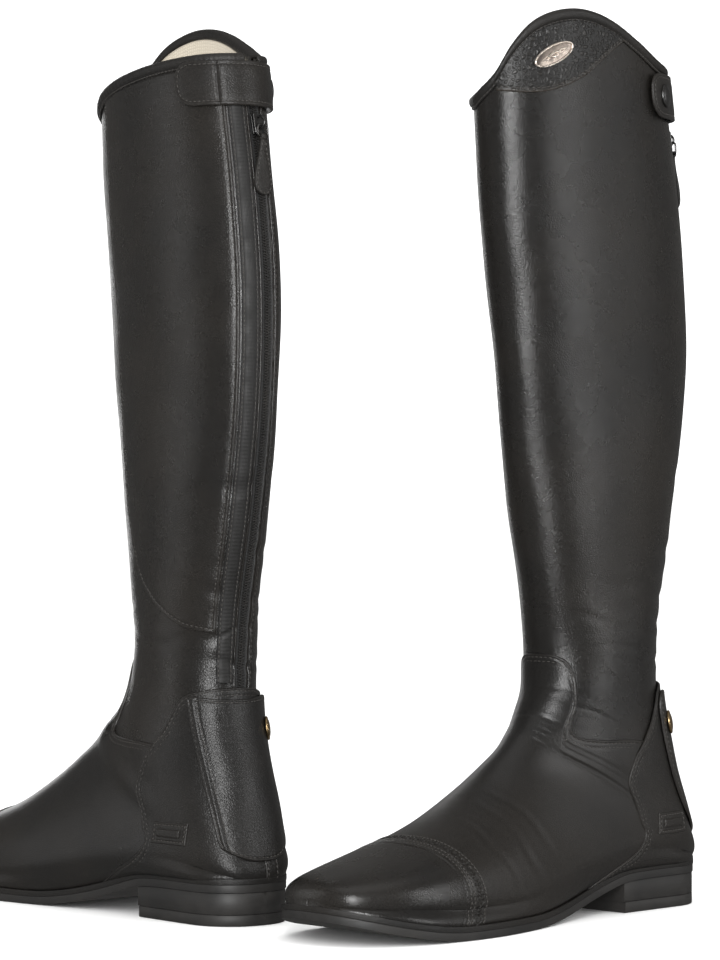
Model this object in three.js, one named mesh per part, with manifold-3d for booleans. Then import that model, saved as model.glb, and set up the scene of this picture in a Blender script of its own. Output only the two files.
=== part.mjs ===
// A pair of tall leather riding boots with a rear zip, standing side by side on their soles.
// Each boot is drawn once in its own frame: +X to the toe, +Y to the outer side, +Z up,
// with the ground at z = 0 and the back of the heel near x = 0.
import * as THREE from "three";
import { mergeVertices } from "three/addons/utils/BufferGeometryUtils.js";
import Module from "manifold-3d";

const wasm = await Module();
wasm.setup();

// ---------------------------------------------------------------- driving dimensions, mm and degrees

// Where each boot stands in the pair. The yaw turns the toe, footTurn turns the foot under the shaft.
const LEFT_BOOT = { name: "left", x: 181.5, y: 124, yaw: 225, footTurn: 0, mirrored: false };
const RIGHT_BOOT = { name: "right", x: -52, y: -8, yaw: 122, footTurn: 9, mirrored: true };
const TURN_PIVOT_X = 20;
const TURN_START = 6;
const TURN_END = 9.6;

// Leather layers, measured outward from the surface that the sections describe.
const BASE_LAYER = [-1.8, 0];
const OVERLAY_LAYER = [0.9, 1.9];
const FOOT_LAYER = [1.15, 2.1];
const THIN_OVERLAY_LAYER = [0.6, 1.4];
const STRAP_LAYER = [2.4, 3.6];
const GUARD_LAYER = [3, 4.2];
const LINING_LAYER = [-3.7, -2.7];
const TAPE_LAYER = [-1.7, -0.8];

// Sole and heel.
const HEEL_BACK_X = 2;
const HEEL_RADIUS = 29;
const TOE_TIP_X = 298;
const TOE_RADIUS = 62;
const HEEL_BREAST_X = 78;
const TOP_LIFT_HEIGHT = 6;
const OUTSOLE_THICKNESS = 4.2;
const WELT_THICKNESS = 3;
const INSOLE_THICKNESS = 2.4;
const GAP = 0.3;

// Top line: height above the ground at angles round the shaft, from the inner side over the front
// to the outer side. The outer side rises to the peak.
const TOP_LINE = [
  [-180, 471], [-140, 470], [-100, 466], [-60, 458], [-35, 450], [-15, 449], [0, 454], [12, 461],
  [25, 475], [40, 487.5], [55, 494], [70, 496], [85, 493], [105, 483], [125, 474.5], [150, 471.5], [180, 471],
];
const BINDING_DEPTH = 5;
const CROWN_PLACE = 0.8;

// The zip runs down the back, a little to the outer side.
const ZIP_Y = 5;
const ZIP_HALF_WIDTH = 5;
const ZIP_BOTTOM = 7.6;
const LINING_BOTTOM = 6.4;
const SLIDER_Z = 433;

// Cross sections from above the top line to the toe. Each one is a plane that leans from level at
// the calf to upright at the toe, given by its front and back points as [x, z], its half width, the
// sideways shift of its middle, the share of its depth behind the widest point, and its squareness.
const SECTIONS = [
  { front: [163, 520], back: [28, 520], half: 34.5, shift: 0, rear: 0.5, squareFront: 2.1, squareBack: 2.1 },
  { front: [161, 460], back: [21, 460], half: 33.5, shift: 0, rear: 0.5, squareFront: 2.1, squareBack: 2.1 },
  { front: [157.5, 400], back: [9, 400], half: 33, shift: 0, rear: 0.5, squareFront: 2.1, squareBack: 2.1 },
  { front: [150, 340], back: [2, 340], half: 33, shift: 0, rear: 0.5, squareFront: 2.1, squareBack: 2.1 },
  { front: [141.5, 280], back: [4.5, 280], half: 31.5, shift: 0, rear: 0.5, squareFront: 2.1, squareBack: 2.1 },
  { front: [132.5, 220], back: [15, 220], half: 30, shift: 0, rear: 0.5, squareFront: 2.1, squareBack: 2.1 },
  { front: [121, 165], back: [28, 165], half: 29, shift: 0, rear: 0.5, squareFront: 2.1, squareBack: 2.1 },
  { front: [118, 134], back: [29.5, 118], half: 29, shift: 0, rear: 0.5, squareFront: 2.1, squareBack: 2.2 },
  { front: [125, 115], back: [17, 75], half: 29.5, shift: 0, rear: 0.5, squareFront: 2.1, squareBack: 2.2 },
  { front: [135, 102], back: [8, 42], half: 30, shift: 0, rear: 0.45, squareFront: 2.1, squareBack: 2.6 },
  { front: [144, 93], back: [17, 31], half: 31, shift: 0, rear: 0.4, squareFront: 2.1, squareBack: 3 },
  { front: [155, 84], back: [50, 29], half: 33, shift: -1, rear: 0.35, squareFront: 2.1, squareBack: 3.2 },
  { front: [172, 72], back: [105, 20], half: 37, shift: -1, rear: 0.35, squareFront: 2.1, squareBack: 3.4 },
  { front: [199, 57], back: [165, 10.5], half: 43.5, shift: 1, rear: 0.3, squareFront: 2.2, squareBack: 3.4 },
  { front: [229, 46], back: [215, 10.5], half: 44.5, shift: 2, rear: 0.3, squareFront: 2.3, squareBack: 3.4 },
  { front: [257, 38], back: [255, 14], half: 39, shift: 1.5, rear: 0.3, squareFront: 2.4, squareBack: 3.2 },
  { front: [280, 31.5], back: [279, 18.5], half: 27.5, shift: 0.5, rear: 0.35, squareFront: 2.5, squareBack: 3 },
  { front: [290, 27], back: [290, 22], half: 14, shift: 0, rear: 0.5, squareFront: 2.5, squareBack: 2.5 },
  { front: [292, 24.5], back: [292, 24.5], half: 0, shift: 0, rear: 0.5, squareFront: 2.5, squareBack: 2.5 },
];
const TIP = SECTIONS.length - 1;
const TOE_SEAM = 13.9;
const TOE_SEAM_SWEEP = 0.4;
const SEAM_GAP = 0.012;

// Edges of the foot panels, as [angle from the front, place along the sections].
const VAMP_TOP = [
  [0, 6.6], [25, 6.65], [38, 6.95], [44, 7.8], [50, 8.4], [60, 8.5], [75, 8.3], [90, 8.05],
  [105, 7.85], [125, 7.7], [180, 7.8],
];
const SHAFT_UNDERLAP = 0.25;
const COUNTER_TOP = [[102, 7.7], [115, 7.3], [127, 7], [150, 6.85], [180, 6.8]];
const COUNTER_FRONT = 102;
const COUNTER_FOOT = 12.2;
const COUNTER_BULGE = 42;
const COUNTER_BACK_FOOT = 10;
const FEATHER_ANGLE = 148;
const PANEL_GAP = 2.4;

// Sole half widths as [x, outer, inner], and the underside of the sole as [x, z].
const SOLE_WIDTHS = [
  [2, 28.5, 29], [40, 28.5, 29.5], [80, 29, 29], [110, 31, 30], [150, 40, 37],
  [190, 49, 43.5], [215, 51, 46], [236, 50, 46], [298, 47, 44],
];
const SOLE_UNDERSIDE = [
  [2, 18], [60, 17.7], [78, 16.5], [95, 12.5], [112, 8], [130, 4], [150, 1], [168, 0],
  [225, 0], [245, 1.5], [265, 4.8], [285, 9.5], [298, 13],
];

const COLOURS = {
  leather: { color: 0x1e1c1a, roughness: 0.42, metalness: 0 },
  grainLeather: { color: 0x24211e, roughness: 0.5, metalness: 0 },
  rubber: { color: 0x161514, roughness: 0.55, metalness: 0 },
  textile: { color: 0xd8d0c0, roughness: 0.9, metalness: 0 },
  tape: { color: 0x121212, roughness: 0.8, metalness: 0 },
  elastic: { color: 0x191817, roughness: 0.8, metalness: 0 },
  brass: { color: 0xb08d4f, roughness: 0.3, metalness: 1 },
  gunmetal: { color: 0x4a4a4c, roughness: 0.35, metalness: 1 },
  badgeMetal: { color: 0xc9a08a, roughness: 0.25, metalness: 1 },
};

// ---------------------------------------------------------------- small helpers

const radians = THREE.MathUtils.degToRad;
const degrees = THREE.MathUtils.radToDeg;
const lerp = THREE.MathUtils.lerp;
const clamp = THREE.MathUtils.clamp;

// Catmull-Rom value through equally spaced samples, straight past both ends.
function smoothSample(samples, place) {
  const last = samples.length - 1;
  const i = clamp(Math.floor(place), 0, last - 1);
  const t = place - i;
  const a = samples[i];
  const b = samples[i + 1];
  const before = i > 0 ? samples[i - 1] : 2 * a - b;
  const after = i + 2 <= last ? samples[i + 2] : 2 * b - a;
  const slopeA = (b - before) / 2;
  const slopeB = (after - a) / 2;
  const curve = 2 * (a - b) + slopeA + slopeB;
  const bend = 3 * (b - a) - 2 * slopeA - slopeB;
  return a + t * (slopeA + t * (bend + t * curve));
}

// Smooth value of column `column` in a table whose first column rises.
function smoothTable(table, key, column = 1) {
  const last = table.length - 1;
  let i = 0;
  while (i < last - 1 && key > table[i + 1][0]) i += 1;
  const slope = (k) => {
    const lo = Math.max(k - 1, 0);
    const hi = Math.min(k + 1, last);
    return (table[hi][column] - table[lo][column]) / (table[hi][0] - table[lo][0]);
  };
  const span = table[i + 1][0] - table[i][0];
  const t = clamp((key - table[i][0]) / span, 0, 1);
  const a = table[i][column];
  const b = table[i + 1][column];
  const slopeA = slope(i) * span;
  const slopeB = slope(i + 1) * span;
  const curve = 2 * (a - b) + slopeA + slopeB;
  const bend = 3 * (b - a) - 2 * slopeA - slopeB;
  return a + t * (slopeA + t * (bend + t * curve));
}

// A closed geometry from points and triangles: corners are shared, collapsed triangles are dropped
// and the faces are turned outward.
function closedGeometry(points, triangles) {
  const raw = new THREE.BufferGeometry();
  raw.setAttribute("position", new THREE.Float32BufferAttribute(points.flatMap((p) => p.toArray()), 3));
  raw.setIndex(triangles.flat());
  const merged = mergeVertices(raw, 1e-3);
  const index = merged.getIndex().array;
  const kept = [];
  for (let i = 0; i < index.length; i += 3) {
    const [a, b, c] = [index[i], index[i + 1], index[i + 2]];
    if (a !== b && b !== c && c !== a) kept.push(a, b, c);
  }
  if (signedVolume(merged.getAttribute("position"), kept) < 0) kept.reverse();
  merged.setIndex(kept);
  return merged;
}

function signedVolume(position, index) {
  const [a, b, c] = [new THREE.Vector3(), new THREE.Vector3(), new THREE.Vector3()];
  let volume = 0;
  for (let i = 0; i < index.length; i += 3) {
    a.fromBufferAttribute(position, index[i]);
    b.fromBufferAttribute(position, index[i + 1]);
    c.fromBufferAttribute(position, index[i + 2]);
    volume += a.dot(b.cross(c)) / 6;
  }
  return volume;
}

// Joins closed geometries into one body.
function joined(geometries) {
  const solids = geometries.map((geometry) => {
    const bare = geometry.clone();
    bare.deleteAttribute("normal");
    bare.deleteAttribute("uv");
    const welded = mergeVertices(bare, 1e-4);
    const vertProperties = new Float32Array(welded.getAttribute("position").array);
    const triVerts = new Uint32Array(welded.getIndex().array);
    return new wasm.Manifold(new wasm.Mesh({ numProp: 3, vertProperties, triVerts }));
  });
  const mesh = solids.reduce((whole, solid) => whole.add(solid)).getMesh();
  const geometry = new THREE.BufferGeometry();
  geometry.setAttribute("position", new THREE.BufferAttribute(mesh.vertProperties, 3));
  geometry.setIndex(new THREE.BufferAttribute(mesh.triVerts, 1));
  return geometry;
}

// A closed skin between two grids of points, with walls round its four edges.
function slabFromGrids(outer, inner) {
  const rows = outer.length;
  const columns = outer[0].length;
  const points = [...outer.flat(), ...inner.flat()];
  const front = (i, j) => i * columns + j;
  const back = (i, j) => rows * columns + i * columns + j;
  const triangles = [];
  const quad = (a, b, c, d) => triangles.push([a, b, c], [a, c, d]);
  for (let i = 0; i < rows - 1; i += 1) {
    for (let j = 0; j < columns - 1; j += 1) {
      quad(front(i, j), front(i + 1, j), front(i + 1, j + 1), front(i, j + 1));
      quad(back(i, j), back(i, j + 1), back(i + 1, j + 1), back(i + 1, j));
    }
  }
  for (let j = 0; j < columns - 1; j += 1) {
    quad(front(0, j), front(0, j + 1), back(0, j + 1), back(0, j));
    quad(front(rows - 1, j + 1), front(rows - 1, j), back(rows - 1, j), back(rows - 1, j + 1));
  }
  for (let i = 0; i < rows - 1; i += 1) {
    quad(front(i + 1, 0), front(i, 0), back(i, 0), back(i + 1, 0));
    quad(front(i, columns - 1), front(i + 1, columns - 1), back(i + 1, columns - 1), back(i, columns - 1));
  }
  return closedGeometry(points, triangles);
}

// ---------------------------------------------------------------- the surface of one boot

// The surface that every panel follows: u runs along the sections, angle runs round them in degrees
// from the front (0) over the outer side (90) to the back (180). Negative angles are the inner side.
class BootSurface {
  constructor(footTurn) {
    this.footTurn = radians(footTurn);
    const channel = (pick) => SECTIONS.map(pick);
    this.channels = {
      frontX: channel((s) => s.front[0]),
      frontZ: channel((s) => s.front[1]),
      backX: channel((s) => s.back[0]),
      backZ: channel((s) => s.back[1]),
      half: channel((s) => s.half),
      shift: channel((s) => s.shift),
      rear: channel((s) => s.rear),
      squareFront: channel((s) => s.squareFront),
      squareBack: channel((s) => s.squareBack),
    };
  }

  section(u) {
    const at = (name) => smoothSample(this.channels[name], u);
    return {
      frontX: at("frontX"), frontZ: at("frontZ"), backX: at("backX"), backZ: at("backZ"),
      half: Math.max(at("half"), 0), shift: at("shift"), rear: at("rear"),
      squareFront: at("squareFront"), squareBack: at("squareBack"),
    };
  }

  // Turns a point of the foot under the shaft, by `share` of the whole turn.
  turned(x, y, z, share = 1) {
    const turn = this.footTurn * share;
    const dx = x - TURN_PIVOT_X;
    return new THREE.Vector3(
      TURN_PIVOT_X + dx * Math.cos(turn) + y * Math.sin(turn),
      y * Math.cos(turn) - dx * Math.sin(turn),
      z,
    );
  }

  point(u, angle) {
    const s = this.section(u);
    const c = Math.cos(radians(angle));
    const side = Math.sin(radians(angle));
    const square = c > 0 ? s.squareFront : s.squareBack;
    const reach = c > 0 ? 1 - s.rear : s.rear;
    const along = s.rear + reach * Math.sign(c) * Math.abs(c) ** (2 / square);
    const across = s.shift + s.half * Math.sign(side) * Math.abs(side) ** (2 / square);
    const share = THREE.MathUtils.smoothstep(u, TURN_START, TURN_END);
    return this.turned(lerp(s.backX, s.frontX, along), across, lerp(s.backZ, s.frontZ, along), share);
  }

  normal(u, angle) {
    if (u > TIP - 0.05) return new THREE.Vector3(1, 0, 0);
    const down = this.point(u + 0.03, angle).sub(this.point(u - 0.03, angle));
    const round = this.point(u, angle + 1.5).sub(this.point(u, angle - 1.5));
    return down.cross(round).normalize();
  }

  skin(u, angle, offset) {
    return this.point(u, angle).addScaledVector(this.normal(u, angle), offset);
  }

  // Place along the sections of a height on the shaft at one angle.
  placeAtHeight(z, angle) {
    let low = 0;
    let high = 8;
    for (let step = 0; step < 24; step += 1) {
      const middle = (low + high) / 2;
      if (this.point(middle, angle).z > z) low = middle;
      else high = middle;
    }
    return (low + high) / 2;
  }

  // Angle of a point `y` to the outer side of the back centre line.
  backAngle(u, y) {
    const s = this.section(u);
    const share = Math.min(Math.abs(y) / s.half, 1) ** (s.squareBack / 2);
    return 180 - Math.sign(y) * degrees(Math.asin(share));
  }

  // A frame on the surface: X round the boot to the outer side, Y up the boot, Z outward.
  frameAt(u, angle, offset) {
    const outward = this.normal(u, angle);
    const up = this.point(u - 0.03, angle).sub(this.point(u + 0.03, angle));
    const round = up.clone().cross(outward).normalize();
    up.crossVectors(outward, round).normalize();
    const frame = new THREE.Matrix4().makeBasis(round, up, outward);
    return frame.setPosition(this.skin(u, angle, offset));
  }

  // A closed panel that follows the surface. `place(s, t)` gives [u, angle], s round and t down.
  panel(place, columns, rows, [inside, outside]) {
    const grid = (offset) => Array.from({ length: rows + 1 }, (_, i) =>
      Array.from({ length: columns + 1 }, (_, j) => this.skin(...place(j / columns, i / rows), offset)));
    return slabFromGrids(grid(outside), grid(inside));
  }

  topLine(angle) {
    const wrapped = angle > 180 ? angle - 360 : angle;
    return smoothTable(TOP_LINE, wrapped);
  }

  placeBelowTop(angle, drop) {
    return this.placeAtHeight(this.topLine(angle) - drop, angle);
  }
}

// Place of the toe cap's seam, which runs further forward down the outer side.
const toeSeam = (angle) => TOE_SEAM + TOE_SEAM_SWEEP * (Math.max(angle, 0) / FEATHER_ANGLE) ** 2;

const vampTop = (angle) => smoothTable(VAMP_TOP, Math.abs(angle > 180 ? angle - 360 : angle));
const counterTop = (angle) => smoothTable(COUNTER_TOP, Math.abs(angle));

// Angle of the seam between counter and vamp, then of the edge where the upper meets the sole.
function panelEdge(u) {
  if (u >= COUNTER_FOOT) return FEATHER_ANGLE;
  const start = counterTop(COUNTER_FRONT);
  const t = clamp((u - start) / (COUNTER_FOOT - start), 0, 1);
  return lerp(COUNTER_FRONT, FEATHER_ANGLE, t) - COUNTER_BULGE * 4 * t * (1 - t);
}

// Angle where the heel cup meets the sole.
const HEEL_FEATHER = [[10, 180], [10.3, 164], [10.7, 155], [11.3, 150], [12.2, 148]];

// ---------------------------------------------------------------- upper

// Angles of the two edges of the zip opening, going forward round the outer side and back along the
// inner side: from `outerEdge` down to `innerEdge`.
const outerEdge = (boot, u) => boot.backAngle(u, ZIP_Y + ZIP_HALF_WIDTH);
const innerEdge = (boot, u) => boot.backAngle(u, ZIP_Y - ZIP_HALF_WIDTH - 0.001) - 360;

// Angle at share s of the way from the inner zip edge, round the front, to the outer zip edge.
const roundShaft = (boot, u, s) => lerp(innerEdge(boot, u), outerEdge(boot, u), s);

function makeShaft(boot) {
  const place = (s, t) => {
    const top = boot.placeBelowTop(roundShaft(boot, CROWN_PLACE, s), 1.5);
    const bottom = vampTop(roundShaft(boot, 3, s)) + SHAFT_UNDERLAP;
    const u = lerp(top, bottom, t);
    return [u, roundShaft(boot, u, s)];
  };
  return boot.panel(place, 32, 12, BASE_LAYER);
}

function makeLining(boot) {
  const place = (s, t) => {
    const u = lerp(boot.placeBelowTop(roundShaft(boot, CROWN_PLACE, s), 2.5), LINING_BOTTOM, t);
    return [u, roundShaft(boot, u, s)];
  };
  return boot.panel(place, 18, 7, LINING_LAYER);
}

// A folded strip over the top edge, its section given as [drop below the top line, offset].
function makeTopBinding(boot) {
  const outside = OVERLAY_LAYER[1];
  const inside = LINING_LAYER[0] - 1.6;
  const fold = 0.3;
  const profile = [
    [BINDING_DEPTH, OVERLAY_LAYER[0]], [BINDING_DEPTH, outside], [1, outside], [-0.8, outside - 1.1],
    [-0.8, inside + 1.1], [1, inside], [BINDING_DEPTH, inside], [BINDING_DEPTH, LINING_LAYER[0] - 0.9],
    [fold, LINING_LAYER[0] - 0.9], [fold, OVERLAY_LAYER[0]],
  ];
  const steps = 32;
  const rings = Array.from({ length: steps + 1 }, (_, i) => {
    const angle = roundShaft(boot, CROWN_PLACE, i / steps);
    return profile.map(([drop, offset]) => boot.skin(boot.placeBelowTop(angle, drop), angle, offset));
  });
  const sides = profile.length;
  const triangles = [];
  for (let i = 0; i < steps; i += 1) {
    for (let j = 0; j < sides; j += 1) {
      const a = i * sides + j;
      const b = i * sides + ((j + 1) % sides);
      triangles.push([a, b, b + sides], [a, b + sides, a + sides]);
    }
  }
  const flat = profile.map(([drop, offset]) => new THREE.Vector2(drop, offset));
  for (const face of THREE.ShapeUtils.triangulateShape(flat, [])) {
    const last = face.map((k) => steps * sides + k);
    const turned = THREE.ShapeUtils.area(flat) > 0;
    triangles.push(turned ? face.toReversed() : face);
    triangles.push(turned ? last : last.toReversed());
  }
  return closedGeometry(rings.flat(), triangles);
}

// The grained patch at the front outer corner: angles of its ends, and its lower edge as [angle, z].
const CROWN_PATCH = { from: 14, to: 96, below: BINDING_DEPTH + 1.2 };
const CROWN_LOWER_EDGE = [[14, 451], [32, 450], [52, 452], [70, 460], [84, 472], [96, 482]];

function makeCrownPatch(boot) {
  const place = (s, t) => {
    const angle = lerp(CROWN_PATCH.from, CROWN_PATCH.to, s);
    const top = boot.placeBelowTop(angle, CROWN_PATCH.below);
    const bottom = boot.placeAtHeight(smoothTable(CROWN_LOWER_EDGE, angle), angle);
    return [lerp(top, Math.max(bottom, top + 0.03), t), angle];
  };
  return boot.panel(place, 9, 4, OVERLAY_LAYER);
}

// The long panel on the inner side, from the top binding to a curved edge above the ankle.
// Its front edge angle, its rear edge beside the elastic, and its lower edge as [angle, z].
const CALF_GUARD = { front: -62, rearY: -11, below: BINDING_DEPTH + 1.2 };
const CALF_LOWER_EDGE = [
  [62, 224], [70, 203], [79, 187], [90, 177], [101, 170], [127, 160], [165, 156],
];

function makeCalfGuard(boot) {
  const rearAngle = (u) => boot.backAngle(u, CALF_GUARD.rearY) - 360;
  const place = (s, t) => {
    const across = lerp(CALF_GUARD.front, rearAngle(3), s);
    const top = boot.placeBelowTop(across, CALF_GUARD.below);
    const bottom = boot.placeAtHeight(smoothTable(CALF_LOWER_EDGE, -across), across);
    const u = lerp(top, bottom, t);
    return [u, lerp(CALF_GUARD.front, rearAngle(u), s)];
  };
  return boot.panel(place, 8, 10, THIN_OVERLAY_LAYER);
}

// A strip that runs beside the zip between two distances from the back centre line.
function makeZipStrip(boot, fromY, toY, bottom, layer, columns) {
  const top = boot.placeBelowTop(180, 12);
  const place = (s, t) => {
    const u = lerp(top, bottom, t);
    const angle = boot.backAngle(u, lerp(fromY, toY, s));
    return [u, angle];
  };
  return boot.panel(place, columns, 13, layer);
}

function makeVamp(boot) {
  const place = (s, t) => {
    const side = 2 * s - 1;
    const top = vampTop(side * (COUNTER_FRONT - PANEL_GAP));
    const u = lerp(top, toeSeam(side * FEATHER_ANGLE) - SEAM_GAP, t);
    return [u, side * (panelEdge(u) - PANEL_GAP)];
  };
  return boot.panel(place, 14, 18, FOOT_LAYER);
}

function makeToeCap(boot) {
  const place = (s, t) => {
    const rounded = 1 - (1 - t) ** 1.5;
    const angle = (2 * s - 1) * FEATHER_ANGLE;
    return [lerp(toeSeam(angle) + SEAM_GAP, TIP, rounded), angle];
  };
  return boot.panel(place, 12, 7, OVERLAY_LAYER);
}

function makeHeelCounter(boot) {
  const place = (s, t) => {
    const side = 2 * s - 1;
    const reach = Math.abs(side);
    const topAngle = lerp(180, COUNTER_FRONT, reach);
    const foot = lerp(COUNTER_BACK_FOOT, COUNTER_FOOT, reach ** 1.5);
    const footAngle = smoothTable(HEEL_FEATHER, foot);
    const bulge = COUNTER_BULGE * 4 * t * (1 - t) * reach ** 2;
    const angle = lerp(topAngle, footAngle, t) - bulge;
    return [lerp(counterTop(topAngle), foot, t), side < 0 ? angle : 360 - angle];
  };
  return boot.panel(place, 14, 14, FOOT_LAYER);
}

// Finds the place on one side of the boot at a given x and z.
function placeOnSide(boot, x, z, side) {
  let u = 9;
  let angle = 100;
  for (let step = 0; step < 12; step += 1) {
    const here = boot.point(u, side * angle);
    const alongU = boot.point(u + 0.05, side * angle).sub(here).divideScalar(0.05);
    const alongAngle = boot.point(u, side * (angle + 1)).sub(here);
    const det = alongU.x * alongAngle.z - alongU.z * alongAngle.x;
    const dx = x - here.x;
    const dz = z - here.z;
    u += (dx * alongAngle.z - dz * alongAngle.x) / det;
    angle += (alongU.x * dz - alongU.z * dx) / det;
  }
  return [u, side * angle];
}

const SPUR_REST = { x: 41, z: 48, length: 24, height: 11, layer: [2.3, 3.3] };

function makeSpurRest(boot, side) {
  const place = (s, t) => {
    const x = SPUR_REST.x + (s - 0.5) * SPUR_REST.length;
    const z = SPUR_REST.z - (t - 0.5) * SPUR_REST.height;
    return placeOnSide(boot, x, z, side);
  };
  return boot.panel(place, 4, 2, SPUR_REST.layer);
}

// ---------------------------------------------------------------- strap, guard and zip

// Narrows a strap to a half round end: share of the half height at distance `left` from the end.
const roundEnd = (left, radius) => Math.sqrt(Math.max(1 - Math.max(1 - left / radius, 0) ** 2, 0));

const TOP_STRAP = { start: -128, end: 114, z: 455, halfHeight: 12.5, capAngle: 128 };

function makeTopStrap(boot) {
  const start = -TOP_STRAP.start;
  const end = 360 - TOP_STRAP.end;
  const place = (s, t) => {
    const eased = 0.5 - 0.5 * Math.cos(Math.PI * s);
    const angle = lerp(start, end, lerp(s, eased, 0.6));
    const head = roundEnd(end - angle, 20);
    const tail = roundEnd(angle - start + 9, 20);
    const half = TOP_STRAP.halfHeight * Math.min(head, tail);
    const z = TOP_STRAP.z - 2 * (t - 0.5) * half;
    return [boot.placeAtHeight(z, -angle), -angle];
  };
  return boot.panel(place, 18, 2, STRAP_LAYER);
}

// The flap over the foot of the zip: its sewn front edge on the inner side leans back going down.
const ZIP_GUARD = {
  seamTop: 133, seamBottom: 143, end: 121, topU: 6.95, bottomU: 9.25, lowerCorner: 44, upperCorner: 12,
  capU: 7.4, capAngle: 138,
};

function makeZipGuard(boot) {
  const end = 360 - ZIP_GUARD.end;
  const { seamTop, seamBottom, topU, bottomU, lowerCorner, upperCorner } = ZIP_GUARD;
  const neck = lerp(topU, bottomU, 0.2);
  const seam = (u) => lerp(seamTop, seamBottom, (u - topU) / (bottomU - topU));
  const place = (s, t) => {
    const eased = Math.sin((s * Math.PI) / 2);
    const across = lerp((seamTop + seamBottom) / 2, end, lerp(s, eased, 0.6));
    const top = lerp(neck, topU, roundEnd(end - across, upperCorner));
    const bottom = lerp(neck, bottomU, roundEnd(end - across, lowerCorner));
    const u = lerp(top, bottom, t);
    return [u, -lerp(seam(u), end, lerp(s, eased, 0.6))];
  };
  return boot.panel(place, 12, 6, GUARD_LAYER);
}

// A domed snap cap of the given radius and height, its flat back at z = 0.
function snapCapProfile(radius, height) {
  const rim = height * 0.35;
  const dome = new THREE.Shape();
  dome.moveTo(0, 0);
  dome.lineTo(radius, 0);
  dome.lineTo(radius, rim);
  dome.quadraticCurveTo(radius * 0.85, height, 0, height);
  return dome.getPoints(4).map((p) => new THREE.Vector2(Math.max(p.x, 0), p.y));
}

function makeTurned(profile) {
  const geometry = new THREE.LatheGeometry(profile, 14);
  geometry.rotateX(Math.PI / 2);
  geometry.deleteAttribute("normal");
  geometry.deleteAttribute("uv");
  const points = [];
  const position = geometry.getAttribute("position");
  for (let i = 0; i < position.count; i += 1) {
    points.push(new THREE.Vector3().fromBufferAttribute(position, i));
  }
  const index = geometry.getIndex().array;
  const triangles = [];
  for (let i = 0; i < index.length; i += 3) triangles.push([index[i], index[i + 1], index[i + 2]]);
  return closedGeometry(points, triangles);
}

function makeSnapCap(boot, u, angle, offset) {
  return makeTurned(snapCapProfile(6.6, 3)).applyMatrix4(boot.frameAt(u, angle, offset));
}

function makeSnapStud(boot, u, angle, offset, height) {
  const stud = [[0, 0], [4.6, 0], [4.6, height], [0, height]].map(([x, y]) => new THREE.Vector2(x, y));
  return makeTurned(stud).applyMatrix4(boot.frameAt(u, angle, offset));
}

const BADGE = { angle: 52, z: 471, halfLength: 13, halfHeight: 5.2, tilt: 25 };

function makeBadge(boot) {
  const { angle, z, halfLength, halfHeight, tilt } = BADGE;
  const outline = new THREE.Shape();
  outline.absellipse(0, 0, halfLength, halfHeight, 0, 2 * Math.PI, false, radians(tilt));
  const plate = new THREE.ExtrudeGeometry(outline, { depth: 1.2, bevelEnabled: false, curveSegments: 20 });
  return plate.applyMatrix4(boot.frameAt(boot.placeAtHeight(z, angle), angle, OVERLAY_LAYER[1] + 0.6));
}

// The slider's shield with a wire bail on its face, seen from outside: X round, Y up, Z outward.
const SLIDER_FACE = 2.9;
const BAIL_TOP = 7.6;
const PULL_AXIS = 5.1;
const PULL_LEAN = 6.5;

function makeSlider() {
  const shield = new THREE.Shape();
  shield.moveTo(-4.2, 5);
  shield.quadraticCurveTo(0, 7, 4.2, 5);
  shield.lineTo(3.4, -5.5);
  shield.quadraticCurveTo(0, -7, -3.4, -5.5);
  shield.closePath();
  const body = new THREE.ExtrudeGeometry(shield, {
    depth: SLIDER_FACE, bevelEnabled: false, curveSegments: 6,
  });
  const wire = 0.7;
  const foot = SLIDER_FACE - 0.6;
  const top = BAIL_TOP - wire;
  const bow = new THREE.CatmullRomCurve3([
    new THREE.Vector3(0, 4, foot), new THREE.Vector3(0, 3.6, top - 1.2), new THREE.Vector3(0, 0.5, top),
    new THREE.Vector3(0, -2.9, top - 0.6), new THREE.Vector3(0, -3.6, foot),
  ]);
  const section = new THREE.Shape();
  section.absarc(0, 0, wire, 0, 2 * Math.PI);
  const bail = new THREE.ExtrudeGeometry(section, { extrudePath: bow, steps: 8, curveSegments: 4 });
  return joined([body, bail]);
}

// The wire ring: an upright rounded rectangle whose top bar runs under the bail.
const RING = { halfWidth: 3.7, height: 6.4, wire: 0.55 };

function makeRing() {
  const corner = 1.6;
  const { halfWidth, height, wire } = RING;
  const corners = [
    [-halfWidth + corner, 0], [halfWidth - corner, 0], [halfWidth, -corner], [halfWidth, corner - height],
    [halfWidth - corner, -height], [corner - halfWidth, -height], [-halfWidth, corner - height],
    [-halfWidth, -corner],
  ];
  const count = corners.length;
  const sides = 6;
  const points = [];
  const triangles = [];
  corners.forEach(([x, y], i) => {
    const centre = new THREE.Vector3(x, y, 0);
    const [nextX, nextY] = corners[(i + 1) % count];
    const [lastX, lastY] = corners[(i + count - 1) % count];
    const along = new THREE.Vector3(nextX - lastX, nextY - lastY, 0).normalize();
    const out = new THREE.Vector3(along.y, -along.x, 0);
    for (let k = 0; k < sides; k += 1) {
      const turn = (2 * Math.PI * k) / sides;
      const around = new THREE.Vector3(0, 0, wire * Math.sin(turn));
      points.push(around.addScaledVector(out, wire * Math.cos(turn)).add(centre));
      const a = i * sides + k;
      const b = i * sides + ((k + 1) % sides);
      const step = ((i + 1) % count) * sides - i * sides;
      triangles.push([a, b, b + step], [a, b + step, a + step]);
    }
  });
  return closedGeometry(points, triangles);
}

// The leather pull: a teardrop leaf below a fold that holds the ring's lower bar.
const TAB = { halfWidth: 6.4, length: 34, thickness: 2 };

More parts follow.
